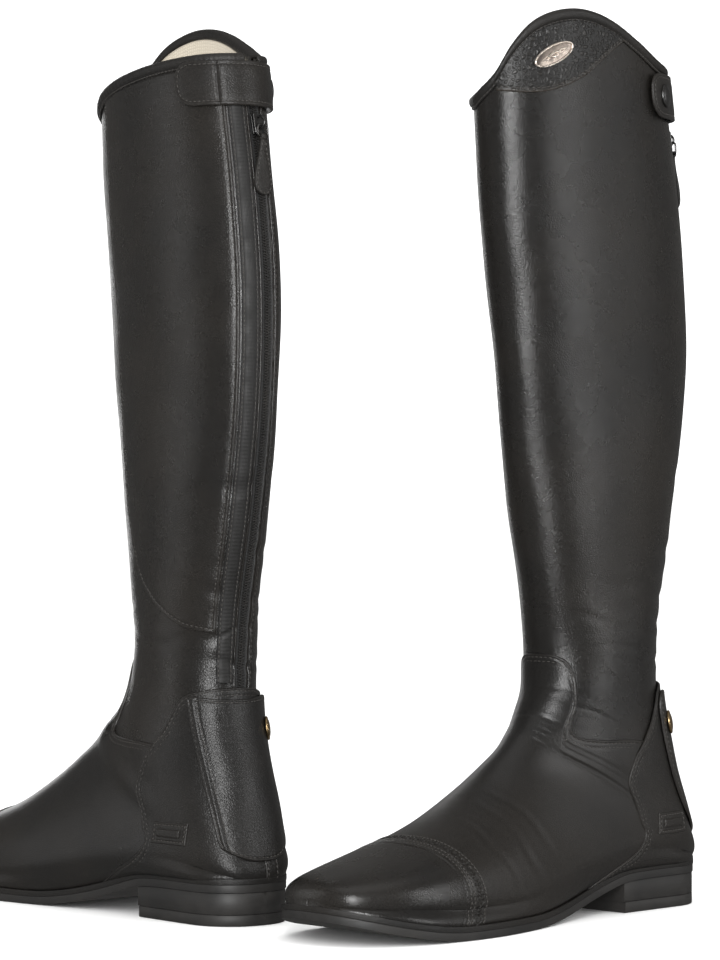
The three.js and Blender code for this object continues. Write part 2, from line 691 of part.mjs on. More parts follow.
function makePullTab() {
  const y0 = -RING.height;
  const fold = new THREE.Shape();
  fold.absarc(0, 0, 1.8, 0, 2 * Math.PI);
  const hole = new THREE.Path();
  hole.absarc(0, 0, RING.wire + 0.35, 0, 2 * Math.PI);
  fold.holes.push(hole);
  const barrel = new THREE.ExtrudeGeometry(fold, { depth: 4, bevelEnabled: false, curveSegments: 8 });
  barrel.translate(0, 0, -2).rotateY(Math.PI / 2).translate(0, y0, 0);
  const leaf = new THREE.Shape();
  leaf.moveTo(-1.9, y0 - 1.4);
  leaf.bezierCurveTo(-2.6, y0 - 12, -TAB.halfWidth, y0 - 16, -TAB.halfWidth, y0 - 26);
  leaf.bezierCurveTo(-TAB.halfWidth, y0 - TAB.length, TAB.halfWidth, y0 - TAB.length, TAB.halfWidth, y0 - 26);
  leaf.bezierCurveTo(TAB.halfWidth, y0 - 16, 2.6, y0 - 12, 1.9, y0 - 1.4);
  leaf.closePath();
  const plate = new THREE.ExtrudeGeometry(leaf, {
    depth: TAB.thickness, bevelEnabled: false, curveSegments: 8,
  });
  plate.translate(0, 0, -TAB.thickness / 2);
  return joined([barrel, plate]);
}

// ---------------------------------------------------------------- sole

// Outline half widths at x, closed by round ends at the heel and the toe.
function soleHalfWidth(x, column, inset = 0) {
  const heelRadius = HEEL_RADIUS - inset;
  const toeRadius = TOE_RADIUS - inset;
  const heel = Math.max(HEEL_BACK_X + inset + heelRadius - x, 0) / heelRadius;
  const toe = Math.max(x - (TOE_TIP_X - inset - toeRadius), 0) / toeRadius;
  const ends = (1 - Math.min(heel, 1) ** 2.2) ** (1 / 2.2) * (1 - Math.min(toe, 1) ** 2.2) ** (1 / 2.2);
  return (smoothTable(SOLE_WIDTHS, x, column) - inset) * ends;
}

const soleUnderside = (x) => Math.max(smoothTable(SOLE_UNDERSIDE, x), 0);

// Stations along the sole from `from` to `to`, closer together at a round end.
function soleStations(from, to, count, roundBack, roundFront) {
  return Array.from({ length: count + 1 }, (_, i) => {
    const s = i / count;
    const easeBack = roundBack ? 1 - Math.cos((s * Math.PI) / 2) : s;
    const easeFront = roundFront ? Math.sin((s * Math.PI) / 2) : s;
    const both = roundBack && roundFront ? (1 - Math.cos(s * Math.PI)) / 2 : easeBack + easeFront - s;
    return lerp(from, to, lerp(s, both, 0.75));
  });
}

// A plate with the sole's outline: `section(x)` gives its bottom and top height and its inset.
function makePlate(boot, stations, section) {
  const corner = (x, column, level) => {
    const { bottom, top, insetBottom, insetTop } = section(x);
    const inset = level ? insetTop : insetBottom;
    const half = soleHalfWidth(x, column, inset);
    return boot.turned(x, column === 1 ? half : -half, level ? top : bottom);
  };
  const edge = (level) => stations.map((x) => [corner(x, 2, level), corner(x, 1, level)]);
  return slabFromGrids(edge(1), edge(0));
}

function makeOutsole(boot) {
  const stations = soleStations(HEEL_BACK_X, TOE_TIP_X, 26, true, true);
  return makePlate(boot, stations, (x) => ({
    bottom: soleUnderside(x), top: soleUnderside(x) + OUTSOLE_THICKNESS, insetBottom: 0, insetTop: 0,
  }));
}

function makeWelt(boot) {
  const inset = 0.8;
  const stations = soleStations(HEEL_BACK_X + inset, TOE_TIP_X - inset, 26, true, true);
  return makePlate(boot, stations, (x) => {
    const bottom = soleUnderside(x) + OUTSOLE_THICKNESS + GAP;
    return { bottom, top: bottom + WELT_THICKNESS, insetBottom: inset, insetTop: inset };
  });
}

function makeHeelBlock(boot) {
  const stations = soleStations(HEEL_BACK_X + 1, HEEL_BREAST_X, 10, true, false);
  return makePlate(boot, stations, (x) => ({
    bottom: TOP_LIFT_HEIGHT + GAP, top: soleUnderside(x) - 2 * GAP, insetBottom: 1, insetTop: 1,
  }));
}

function makeTopLift(boot) {
  const stations = soleStations(HEEL_BACK_X + 1, HEEL_BREAST_X - 1, 10, true, false);
  return makePlate(boot, stations, () => ({ bottom: 0, top: TOP_LIFT_HEIGHT, insetBottom: 1, insetTop: 1 }));
}

function makeInsole(boot) {
  const stations = soleStations(28, 248, 14, true, true);
  return makePlate(boot, stations, (x) => {
    const bottom = soleUnderside(x) + OUTSOLE_THICKNESS + WELT_THICKNESS + 3 * GAP;
    const inset = lerp(15, 24, clamp((x - HEEL_BREAST_X) / 130, 0, 1));
    return { bottom, top: bottom + INSOLE_THICKNESS, insetBottom: inset, insetTop: inset };
  });
}

// ---------------------------------------------------------------- assembly

function makeBoot(plan) {
  const boot = new BootSurface(plan.footTurn);
  const group = new THREE.Group();
  const add = (name, geometry, look) => {
    const mesh = new THREE.Mesh(geometry, new THREE.MeshStandardMaterial(COLOURS[look]));
    mesh.name = `${plan.name}_${name}`;
    group.add(mesh);
    return mesh;
  };

  add("outsole", makeOutsole(boot), "rubber");
  add("welt", makeWelt(boot), "leather");
  add("heel_block", makeHeelBlock(boot), "rubber");
  add("heel_top_lift", makeTopLift(boot), "rubber");
  add("insole", makeInsole(boot), "textile");

  add("vamp", makeVamp(boot), "leather");
  add("toe_cap", makeToeCap(boot), "leather");
  add("heel_counter", makeHeelCounter(boot), "leather");
  add("spur_rest_outer", makeSpurRest(boot, 1), "leather");
  add("spur_rest_inner", makeSpurRest(boot, -1), "leather");

  add("shaft", makeShaft(boot), "leather");
  add("lining", makeLining(boot), "textile");
  add("top_binding", makeTopBinding(boot), "leather");
  add("crown_patch", makeCrownPatch(boot), "grainLeather");
  add("badge", makeBadge(boot), "badgeMetal");
  add("calf_guard", makeCalfGuard(boot), "leather");
  add("elastic_panel", makeZipStrip(boot, -2, -10, 6.7, THIN_OVERLAY_LAYER, 3), "elastic");

  const tapeEdge = ZIP_HALF_WIDTH - 0.4;
  add("zip_tape_outer", makeZipStrip(boot, ZIP_Y + 0.2, ZIP_Y + tapeEdge, ZIP_BOTTOM, TAPE_LAYER, 1), "tape");
  add("zip_tape_inner", makeZipStrip(boot, ZIP_Y - tapeEdge, ZIP_Y - 0.2, ZIP_BOTTOM, TAPE_LAYER, 1), "tape");

  const sliderAngle = boot.backAngle(1.3, ZIP_Y);
  const sliderPlace = boot.placeAtHeight(SLIDER_Z, sliderAngle);
  const sliderFrame = boot.frameAt(sliderPlace, sliderAngle, 0);
  add("zip_slider", makeSlider().applyMatrix4(sliderFrame), "gunmetal");
  const pullFrame = sliderFrame.clone();
  pullFrame.multiply(new THREE.Matrix4().makeTranslation(0, -1.6, PULL_AXIS));
  pullFrame.multiply(new THREE.Matrix4().makeRotationX(radians(PULL_LEAN)));
  add("zip_ring", makeRing().applyMatrix4(pullFrame), "gunmetal");
  add("zip_pull_tab", makePullTab().applyMatrix4(pullFrame), "leather");

  add("top_strap", makeTopStrap(boot), "leather");
  const strapPlace = boot.placeAtHeight(TOP_STRAP.z, TOP_STRAP.capAngle);
  add("top_snap_cap", makeSnapCap(boot, strapPlace, TOP_STRAP.capAngle, STRAP_LAYER[1] + 1), "gunmetal");
  add("top_snap_stud", makeSnapStud(boot, strapPlace, TOP_STRAP.capAngle, 0.5, 0.8), "brass");

  add("zip_guard", makeZipGuard(boot), "leather");
  const { capU, capAngle } = ZIP_GUARD;
  add("guard_snap_cap", makeSnapCap(boot, capU, capAngle, GUARD_LAYER[1] + 1), "brass");
  add("guard_snap_stud", makeSnapStud(boot, capU, capAngle, OVERLAY_LAYER[1] + 0.4, 0.3), "brass");

  group.position.set(plan.x, plan.y, 0);
  group.rotation.z = radians(plan.yaw);
  if (plan.mirrored) group.scale.y = -1;
  return group;
}

// The pair stands on z = 0 with the middle of its bounding box over the origin.
const pair = new THREE.Group();
pair.add(makeBoot(LEFT_BOOT), makeBoot(RIGHT_BOOT));
pair.updateMatrixWorld(true);
const box = new THREE.Box3().setFromObject(pair, true);
const middle = box.getCenter(new THREE.Vector3());
pair.children.forEach((boot) => boot.position.add(new THREE.Vector3(-middle.x, -middle.y, -box.min.z)));

export default pair;
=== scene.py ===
# A pair of tall black leather riding boots: every panel is rebuilt finely on the boot's own surface,
# with rounded edges, seams, stitches, creases and procedural leather, textile, rubber and metal.
import math

import bpy
import numpy as np
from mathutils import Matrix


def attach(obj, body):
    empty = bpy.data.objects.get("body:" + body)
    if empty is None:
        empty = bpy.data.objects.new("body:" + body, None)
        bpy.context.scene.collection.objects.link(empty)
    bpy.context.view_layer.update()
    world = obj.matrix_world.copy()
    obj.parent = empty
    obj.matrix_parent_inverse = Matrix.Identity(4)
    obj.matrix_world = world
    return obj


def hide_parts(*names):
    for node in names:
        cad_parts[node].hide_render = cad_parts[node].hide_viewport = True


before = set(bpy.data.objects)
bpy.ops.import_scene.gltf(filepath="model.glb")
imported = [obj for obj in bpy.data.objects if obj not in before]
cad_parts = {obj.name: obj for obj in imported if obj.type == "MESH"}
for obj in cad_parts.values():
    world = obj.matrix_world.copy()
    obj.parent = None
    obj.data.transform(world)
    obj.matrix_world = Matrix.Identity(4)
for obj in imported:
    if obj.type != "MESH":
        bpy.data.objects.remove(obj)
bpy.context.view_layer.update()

# ---------------------------------------------------------------- camera

# The middle of the pair's box, in mm: every boot and the camera are moved by it.
PAIR_SHIFT = (34.71, -65.04)
CAMERA_PLACE = (PAIR_SHIFT[0] / 1000, (PAIR_SHIFT[1] - 1950) / 1000, 0.24)
CAMERA_LENS = 135.3


def make_camera():
    data = bpy.data.cameras.new("camera")
    data.lens = CAMERA_LENS
    data.sensor_width = 36
    camera = bpy.data.objects.new("camera", data)
    camera.location = CAMERA_PLACE
    camera.rotation_euler = (math.pi / 2, 0, 0)
    bpy.context.collection.objects.link(camera)
    bpy.context.scene.camera = camera


make_camera()

# ---------------------------------------------------------------- the shape of one boot, in mm

# Cross sections from above the top line to the toe: front x and z, back x and z, half width,
# sideways shift, share of the depth behind the widest point, squareness in front and behind.
SECTIONS = np.array([
    (163, 520, 28, 520, 34.5, 0, 0.5, 2.1, 2.1),
    (161, 460, 21, 460, 33.5, 0, 0.5, 2.1, 2.1),
    (157.5, 400, 9, 400, 33, 0, 0.5, 2.1, 2.1),
    (150, 340, 2, 340, 33, 0, 0.5, 2.1, 2.1),
    (141.5, 280, 4.5, 280, 31.5, 0, 0.5, 2.1, 2.1),
    (132.5, 220, 15, 220, 30, 0, 0.5, 2.1, 2.1),
    (121, 165, 28, 165, 29, 0, 0.5, 2.1, 2.1),
    (118, 134, 29.5, 118, 29, 0, 0.5, 2.1, 2.2),
    (125, 115, 17, 75, 29.5, 0, 0.5, 2.1, 2.2),
    (135, 102, 7.5, 42, 30, 0, 0.45, 2.1, 2.6),
    (144, 93, 5.5, 25, 30.5, 0, 0.4, 2.1, 2.8),
    (155, 84, 46, 24, 33, -1, 0.35, 2.1, 3.2),
    (172, 72, 105, 17.5, 37, -1, 0.35, 2.1, 3.4),
    (199, 57, 165, 10.5, 43.5, 1, 0.3, 2.2, 3.4),
    (229, 46, 215, 10.5, 44.5, 2, 0.3, 2.3, 3.4),
    (257, 38, 255, 14, 39, 1.5, 0.3, 2.4, 3.2),
    (280, 32.5, 279.5, 15.5, 28.5, 0.5, 0.35, 2.5, 3),
    (290.3, 28.5, 290.3, 17, 17, 0, 0.5, 2.5, 2.5),
    (293, 23, 293, 23, 0, 0, 0.5, 2.5, 2.5),
])
TIP = len(SECTIONS) - 1
TOE_SEAM = 13.9
TOE_SEAM_SWEEP = 0.4

TOP_LINE = np.array([
    (-180, 471), (-140, 470), (-100, 466), (-60, 458), (-35, 450), (-15, 449), (0, 454), (12, 461),
    (25, 475), (40, 487.5), (55, 494), (70, 496), (85, 493), (105, 483), (125, 474.5), (150, 471.5),
    (180, 471),
])
VAMP_TOP = np.array([
    (0, 6.6), (25, 6.65), (38, 6.95), (44, 7.8), (50, 8.4), (60, 8.5), (75, 8.3), (90, 8.05),
    (105, 7.85), (125, 7.7), (180, 7.8),
])
COUNTER_TOP = np.array([(102, 7.7), (115, 7.3), (127, 7), (150, 6.85), (180, 6.8)])
HEEL_FEATHER = np.array([(10, 180), (10.3, 164), (10.7, 155), (11.3, 150), (12.2, 148)])
COUNTER_FRONT = 102
COUNTER_FOOT = 12.2
COUNTER_BACK_FOOT = 10
COUNTER_BULGE = 42
FEATHER_ANGLE = 148

ZIP_Y = 5
ZIP_HALF_WIDTH = 5
ZIP_BOTTOM = 7.6
SLIDER_Z = 433
BINDING_DEPTH = 5

SOLE_WIDTHS = np.array([
    (2, 28.5, 29), (40, 28.5, 29.5), (80, 29, 29), (110, 31, 30), (150, 40, 37),
    (190, 49, 43.5), (215, 51, 46), (236, 50, 46), (298, 47, 44),
])
SOLE_UNDERSIDE = np.array([
    (2, 18), (60, 17.7), (78, 16.5), (95, 12.5), (112, 8), (130, 4), (150, 1), (168, 0),
    (225, 0), (245, 1.5), (265, 4.8), (285, 9.5), (298, 13),
])
HEEL_BACK_X = 2
HEEL_RADIUS = 29
TOE_TIP_X = 298
TOE_RADIUS = 62
ROUND_POWER = 2.2
HEEL_BREAST_X = 78
TOP_LIFT = 6
OUTSOLE = 4.2
WELT = 3
SOLE_GAP = 0.3

# How far the upper's base surface stays inside the sole's outline, by x.
SEAT_INSET = np.array([(2, 3.0), (60, 3.2), (110, 4.8), (200, 5.4), (260, 5.0), (298, 4.4)])
SEAT_START = 8.9
SEAT_FULL = 10.0
SEAT_REACH = 45

# Layers of the upper, measured outward from the surface.
SHAFT_LAYER = (-1.8, 0.0)
LINING_LAYER = (-3.7, -2.0)
THIN_LAYER = (0.0, 1.0)
VAMP_LAYER = (0.0, 1.35)
LAP_LAYER = (0.9, 2.2)
CROWN_LAYER = (0.0, 1.5)
STRAP_LAYER = (2.4, 3.8)
GUARD_LAYER = (2.9, 4.3)

# Soft creases: place along the boot, angle, tilt per 60 degrees, reach in degrees, width, depth in mm.
CREASES = [
    (5.35, 150, 0.10, 44, 0.10, 0.45),
    (5.75, 165, -0.12, 48, 0.09, 0.55),
    (6.15, 175, 0.14, 52, 0.09, 0.60),
    (6.55, 150, -0.06, 46, 0.08, 0.50),
    (4.70, 178, 0.10, 40, 0.12, 0.40),
    (6.05, 60, 0.16, 34, 0.08, 0.30),
    (6.40, 88, -0.10, 30, 0.07, 0.34),
    (5.70, 100, 0.20, 30, 0.09, 0.26),
    (5.90, -70, 0.16, 34, 0.08, 0.30),
    (6.30, -98, -0.14, 34, 0.08, 0.34),
    (7.35, 20, 0.10, 26, 0.09, 0.28),
    (7.75, 62, 0.22, 22, 0.08, 0.30),
    (8.30, 18, -0.06, 30, 0.10, 0.26),
    (8.85, 44, 0.24, 24, 0.09, 0.42),
    (9.40, 52, 0.26, 26, 0.10, 0.46),
    (12.10, 50, 0.30, 30, 0.10, 0.34),
    (12.60, 62, 0.28, 30, 0.09, 0.38),
    (13.05, 50, 0.22, 34, 0.08, 0.34),
    (9.05, 48, 0.20, 26, 0.10, 0.22),
    (8.60, -52, 0.16, 28, 0.10, 0.26),
    (12.35, 12, 0.05, 44, 0.07, 0.18),
    (12.75, 30, -0.04, 40, 0.06, 0.14),
]


def lerp(a, b, t):
    return a + (b - a) * t


def smoothstep(x, low, high):
    t = np.clip((x - low) / (high - low), 0, 1)
    return t * t * (3 - 2 * t)


def signed_power(x, power):
    return np.sign(x) * np.abs(x) ** power


def wrapped(angle):
    return (np.asarray(angle, float) + 180) % 360 - 180


def hermite(a, b, slope_a, slope_b, t):
    curve = 2 * (a - b) + slope_a + slope_b
    bend = 3 * (b - a) - 2 * slope_a - slope_b
    return a + t * (slope_a + t * (bend + t * curve))


def smooth_sample(samples, place):
    """Catmull-Rom value through equally spaced rows, straight past both ends."""
    last = len(samples) - 1
    i = np.clip(np.floor(place).astype(int), 0, last - 1)
    t = (place - i)[..., None]
    a, b = samples[i], samples[i + 1]
    before = np.where((i > 0)[..., None], samples[np.maximum(i - 1, 0)], 2 * a - b)
    after = np.where((i + 2 <= last)[..., None], samples[np.minimum(i + 2, last)], 2 * b - a)
    return hermite(a, b, (b - before) / 2, (after - a) / 2, t)


def smooth_table(table, key, column=1):
    """Smooth value of a column in a table whose first column rises."""
    key = np.asarray(key, float)
    x, y = table[:, 0], table[:, column].astype(float)
    last = len(x) - 1
    low = np.maximum(np.arange(last + 1) - 1, 0)
    high = np.minimum(np.arange(last + 1) + 1, last)
    slopes = (y[high] - y[low]) / (x[high] - x[low])
    i = np.clip(np.searchsorted(x, key, side="left") - 1, 0, last - 1)
    span = x[i + 1] - x[i]
    t = np.clip((key - x[i]) / span, 0, 1)
    return hermite(y[i], y[i + 1], slopes[i] * span, slopes[i + 1] * span, t)


def vamp_top(angle):
    return smooth_table(VAMP_TOP, np.abs(wrapped(angle)))


def toe_seam(angle):
    """Place of the toe cap's seam, which runs further forward down the outer side."""
    return TOE_SEAM + TOE_SEAM_SWEEP * (np.maximum(angle, 0) / FEATHER_ANGLE) ** 2


def top_line(angle):
    return smooth_table(TOP_LINE, wrapped(angle))


def panel_edge(u):
    """Angle of the seam between counter and vamp, then of the edge that meets the sole."""
    start = smooth_table(COUNTER_TOP, COUNTER_FRONT)
    t = np.clip((u - start) / (COUNTER_FOOT - start), 0, 1)
    seam = lerp(COUNTER_FRONT, FEATHER_ANGLE, t) - COUNTER_BULGE * 4 * t * (1 - t)
    return np.where(u >= COUNTER_FOOT, FEATHER_ANGLE, seam)


def sole_end_widths(x, inset):
    return smooth_table(SOLE_WIDTHS, x, 1) - inset, smooth_table(SOLE_WIDTHS, x, 2) - inset


def sole_underside(x):
    return np.maximum(smooth_table(SOLE_UNDERSIDE, x), 0)


def seat_point(x, y):
    """The point on the welt, inside the sole's outline, where the upper's lower edge lands."""
    inset = smooth_table(SEAT_INSET, x)
    outer, inner = sole_end_widths(x, inset)
    half = np.where(y > 0, outer, inner)
    side = np.where(y < 0, -1.0, 1.0)
    heel_x, toe_x = HEEL_BACK_X + HEEL_RADIUS, TOE_TIP_X - TOE_RADIUS
    past_heel, past_toe = np.minimum(x - heel_x, 0), np.maximum(x - toe_x, 0)
    reach = np.where(past_heel < 0, HEEL_RADIUS, TOE_RADIUS) - inset
    past = past_heel + past_toe
    size = ((np.abs(past) / reach) ** ROUND_POWER + (np.abs(y) / half) ** ROUND_POWER) ** (1 / ROUND_POWER)
    grow = 1 / np.maximum(size, 1e-3)
    at_end = past != 0
    target_x = np.where(at_end, np.where(past < 0, heel_x, toe_x) + past * grow, x)
    target_y = np.where(at_end, y * grow, side * half)
    return target_x, target_y, sole_underside(target_x) + OUTSOLE + SOLE_GAP + WELT - 0.3


class Boot:
    """The surface of one boot. u runs along the sections, angle in degrees round them from the
    front (0) over the outer side (90) to the back (180); negative angles are the inner side."""

    PIVOT_X = 20

    def __init__(self, side, origin, yaw, foot_turn, mirrored):
        self.side = side
        self.mirrored = mirrored
        self.foot_turn = math.radians(foot_turn)
        forward = math.radians(yaw)
        flip = -1 if mirrored else 1
        self.origin = np.array([*origin, 0.0])
        self.axes = np.array([
            (math.cos(forward), math.sin(forward), 0),
            (-flip * math.sin(forward), flip * math.cos(forward), 0),
            (0, 0, 1),
        ])
        self.phase = 1.9 if mirrored else 0.0
        self.tops = {}

    def world(self, points):
        return (self.origin + np.asarray(points) @ self.axes) / 1000

    def body(self, part="boot"):
        return f"{self.side}_{part}"

    def turned(self, x, y, z, share=1.0):
        turn = self.foot_turn * share
        dx = x - self.PIVOT_X
        cos, sin = np.cos(turn), np.sin(turn)
        return np.stack(np.broadcast_arrays(self.PIVOT_X + dx * cos + y * sin, y * cos - dx * sin, z), -1)

    def bare_point(self, u, angle):
        """The plain section surface before the foot is seated and turned."""
        front_x, front_z, back_x, back_z, half, shift, rear, square_front, square_back = np.moveaxis(
            smooth_sample(SECTIONS, u), -1, 0)
        half = np.maximum(half, 0)
        c, side = np.cos(np.radians(angle)), np.sin(np.radians(angle))
        square = np.where(c > 0, square_front, square_back)
        reach = np.where(c > 0, 1 - rear, rear)
        along = rear + reach * signed_power(c, 2 / square)
        across = shift + half * signed_power(side, 2 / square)
        return lerp(back_x, front_x, along), across, lerp(back_z, front_z, along)

    def point(self, u, angle):
        u, angle = np.broadcast_arrays(np.asarray(u, float), np.asarray(angle, float))
        x, y, z = self.bare_point(u, angle)
        if u.max() > SEAT_START:
            around = wrapped(angle)
            foot = smooth_table(HEEL_FEATHER, u)
            share = smoothstep(np.abs(around), foot - SEAT_REACH, foot) * smoothstep(u, SEAT_START, SEAT_FULL)
            low = self.bare_point(u, np.where(around < 0, -foot, foot))
            seat = seat_point(low[0], low[1])
            x, y, z = [value + share * (goal - start) for value, goal, start in zip((x, y, z), seat, low)]
        return self.turned(x, y, z, smoothstep(u, 6, 9.6))

    def normal(self, u, angle):
        u = np.minimum(np.asarray(u, float), TIP - 0.05)
        down = self.point(u + 0.03, angle) - self.point(u - 0.03, angle)
        round_it = self.point(u, angle + 1.5) - self.point(u, angle - 1.5)
        normal = np.cross(down, round_it)
        return normal / np.linalg.norm(normal, axis=-1, keepdims=True)

    def relief(self, u, angle):
        """How far the leather stands out of the plain surface, in mm: slow waves and soft creases."""
        u, angle = np.broadcast_arrays(np.asarray(u, float), wrapped(angle))
        a = np.radians(angle)
        wave = 0.42 * np.sin(1.7 * u + 2 * np.sin(a) + self.phase) * np.sin(a * 2 + 0.8 * u)
        wave += 0.26 * np.sin(3.4 * u + a * 3 + 2 * self.phase) + 0.12 * np.sin(6.1 * u - a * 5)
        height = wave * smoothstep(u, 0.9, 2.2) * (1 - smoothstep(u, 8.6, 10))
        for place, centre, tilt, reach, width, depth in CREASES:
            away = wrapped(angle - centre - 6 * self.phase)
            bend = 0.04 * np.sin(away / 9 + 3 * place)
            d = (u - place - tilt * away / 60 - bend) / width
            height = height - depth * (1 - 2 * d * d) * np.exp(-d * d) * np.exp(-(away / reach) ** 2)
        beside_zip = smoothstep(np.abs(angle), 156, 166)
        return height - beside_zip * np.maximum(height, 0)

    def skin(self, u, angle, offset=0.0):
        lift = np.asarray(offset + self.relief(u, angle))[..., None]
        return self.point(u, angle) + self.normal(u, angle) * lift

    def place_at_height(self, z, angle):
        z, angle = np.broadcast_arrays(np.asarray(z, float), np.asarray(angle, float))
        low, high = np.zeros(z.shape), np.full(z.shape, 8.0)
        for _ in range(20):
            middle = (low + high) / 2
            above = self.point(middle, angle)[..., 2] > z
            low, high = np.where(above, middle, low), np.where(above, high, middle)
        return (low + high) / 2

    def below_top(self, angle, drop):
        """Place along the boot at a drop below the top line, from a table made once per drop."""
        if drop not in self.tops:
            grid = np.linspace(-180, 180, 721)
            self.tops[drop] = (grid, self.place_at_height(top_line(grid) - drop, grid))
        return np.interp(wrapped(angle), *self.tops[drop])

    def back_angle(self, u, y):
        sections = smooth_sample(SECTIONS, np.asarray(u, float))
        share = np.minimum(np.abs(y) / sections[..., 4], 1) ** (sections[..., 8] / 2)
        return 180 - np.sign(y) * np.degrees(np.arcsin(share))

    def round_shaft(self, u, s, spare=0.0):
        """Angle at share s from the inner zip edge, round the front, to the outer zip edge."""
        inner = self.back_angle(u, ZIP_Y - ZIP_HALF_WIDTH - 0.001 - spare) - 360
        return lerp(inner, self.back_angle(u, ZIP_Y + ZIP_HALF_WIDTH + spare), s)

    def frame_at(self, u, angle, offset):
        """Origin and axes of a frame on the surface: X round to the outer side, Y up, Z outward."""
        outward = self.normal(u, angle)
        up = self.point(u - 0.03, angle) - self.point(u + 0.03, angle)
        round_it = np.cross(up, outward)
        round_it /= np.linalg.norm(round_it)
        return self.skin(u, angle, offset), np.array([round_it, np.cross(outward, round_it), outward])


LEFT = Boot("left", (181.5 + PAIR_SHIFT[0], 124 + PAIR_SHIFT[1]), 225, 0, False)
RIGHT = Boot("right", (-52 + PAIR_SHIFT[0], -8 + PAIR_SHIFT[1]), 122, 9, True)

# ---------------------------------------------------------------- procedural materials


class Nodes:
    """Small helper that adds and links shader nodes."""

    def __init__(self, name):
        self.material = bpy.data.materials.new(name)
        self.material.use_nodes = True
        self.tree = self.material.node_tree
        self.shader = self.tree.nodes["Principled BSDF"]
        self.coordinates = self.tree.nodes.new("ShaderNodeTexCoord")

    def add(self, kind, inputs=(), **settings):
        node = self.tree.nodes.new(kind)
        for key, value in settings.items():
            setattr(node, key, value)
        for key, value in dict(inputs).items():
            self.feed(node, key, value)
        return node

    def feed(self, node, key, value):
        if isinstance(value, bpy.types.NodeSocket):
            self.tree.links.new(value, node.inputs[key])
        else:
            node.inputs[key].default_value = value

    def noise(self, scale, detail=3, roughness=0.55):
        return self.add("ShaderNodeTexNoise", {
            "Vector": self.coordinates.outputs["Object"], "Scale": scale, "Detail": detail,
            "Roughness": roughness,
        }).outputs["Fac"]

    def streaks(self, scale, detail, **mapping):
        """Noise that is stretched or turned by a mapping."""
        inputs = {"Vector": self.coordinates.outputs["Object"], **mapping}
        vector = self.add("ShaderNodeMapping", inputs).outputs["Vector"]
        return self.add("ShaderNodeTexNoise", {
            "Vector": vector, "Scale": scale, "Detail": detail,
        }).outputs["Fac"]

    def ranged(self, value, from_low, from_high, to_low, to_high):
        return self.add("ShaderNodeMapRange", {
            "Value": value, "From Min": from_low, "From Max": from_high, "To Min": to_low, "To Max": to_high,
        }).outputs["Result"]

    def maths(self, operation, a, b=0.0):
        return self.add("ShaderNodeMath", {0: a, 1: b}, operation=operation).outputs[0]

    def blended(self, factor, first, second):
        node = self.add("ShaderNodeMix", data_type="RGBA")
        self.feed(node, 0, factor)
        self.feed(node, 6, first)
        self.feed(node, 7, second)
        return node.outputs[2]

    def attribute(self, name):
        return self.add("ShaderNodeAttribute", attribute_name=name).outputs["Fac"]

    def bump(self, height, distance, strength=1.0, under=None):
        inputs = {"Height": height, "Distance": distance, "Strength": strength}
        if under is not None:
            inputs["Normal"] = under
        return self.add("ShaderNodeBump", inputs).outputs["Normal"]

    def finish(self, **sockets):
        for key, value in sockets.items():
            self.feed(self.shader, key.replace("_", " ").title().replace("Ior", "IOR"), value)
        return self.material


def grey(value, warmth=0.0):
    return (value * (1 + warmth), value, value * (1 - warmth), 1)


def leather(name, shade=0.0085, roughness=(0.22, 0.34), cell=760, depth=0.00005, coat=0.0, seed=0.0):
    """Fine grained leather: cells and pores in the bump, painted shade in the grain's creases, uneven gloss,
    warm worn edges.
    """
    n = Nodes(name)
    inputs = {"Vector": n.coordinates.outputs["Object"], "Location": (seed, 0, seed)}
    point = n.add("ShaderNodeMapping", inputs).outputs["Vector"]
    slow = n.noise(11, 3)
    patch = n.noise(55, 4, 0.6)
    cells = n.add("ShaderNodeTexVoronoi", {"Vector": point, "Scale": cell}, feature="DISTANCE_TO_EDGE")
    dome = n.add("ShaderNodeTexVoronoi", {"Vector": point, "Scale": cell * 0.45}, feature="SMOOTH_F1")
    grain = n.ranged(cells.outputs["Distance"], 0, 0.3, 0, 1)
    pores = n.noise(cell * 1.1, 3, 0.7)
    wear = n.maths("MULTIPLY", n.attribute("wear"), n.ranged(patch, 0.35, 0.65, 0.2, 1))
    tint = n.blended(n.ranged(slow, 0.4, 0.66, 0, 1), grey(shade, 0.06), grey(shade * 1.35, 0.14))
    # The grain's creases are darkened in the colour: painted shade.
    tint = n.blended(n.ranged(grain, 0, 0.5, 0.55, 0), tint, grey(shade * 0.35, 0.1))
    colour = n.blended(n.maths("MULTIPLY", wear, 0.5), tint, grey(shade * 2.6, 0.14))
    gloss = n.ranged(n.maths("ADD", patch, n.maths("MULTIPLY", slow, 0.6)), 0.55, 1.05, *roughness)
    gloss = n.maths("ADD", gloss, n.maths("MULTIPLY", wear, 0.08))
    normal = n.bump(dome.outputs["Distance"], depth * 1.6, 0.5)
    normal = n.bump(grain, depth, 1.0, normal)
    normal = n.bump(pores, depth * 2.4, 1.0, normal)
    return n.finish(base_color=colour, roughness=gloss, normal=normal, coat_weight=coat, coat_roughness=0.28,
                    specular_ior_level=0.38)


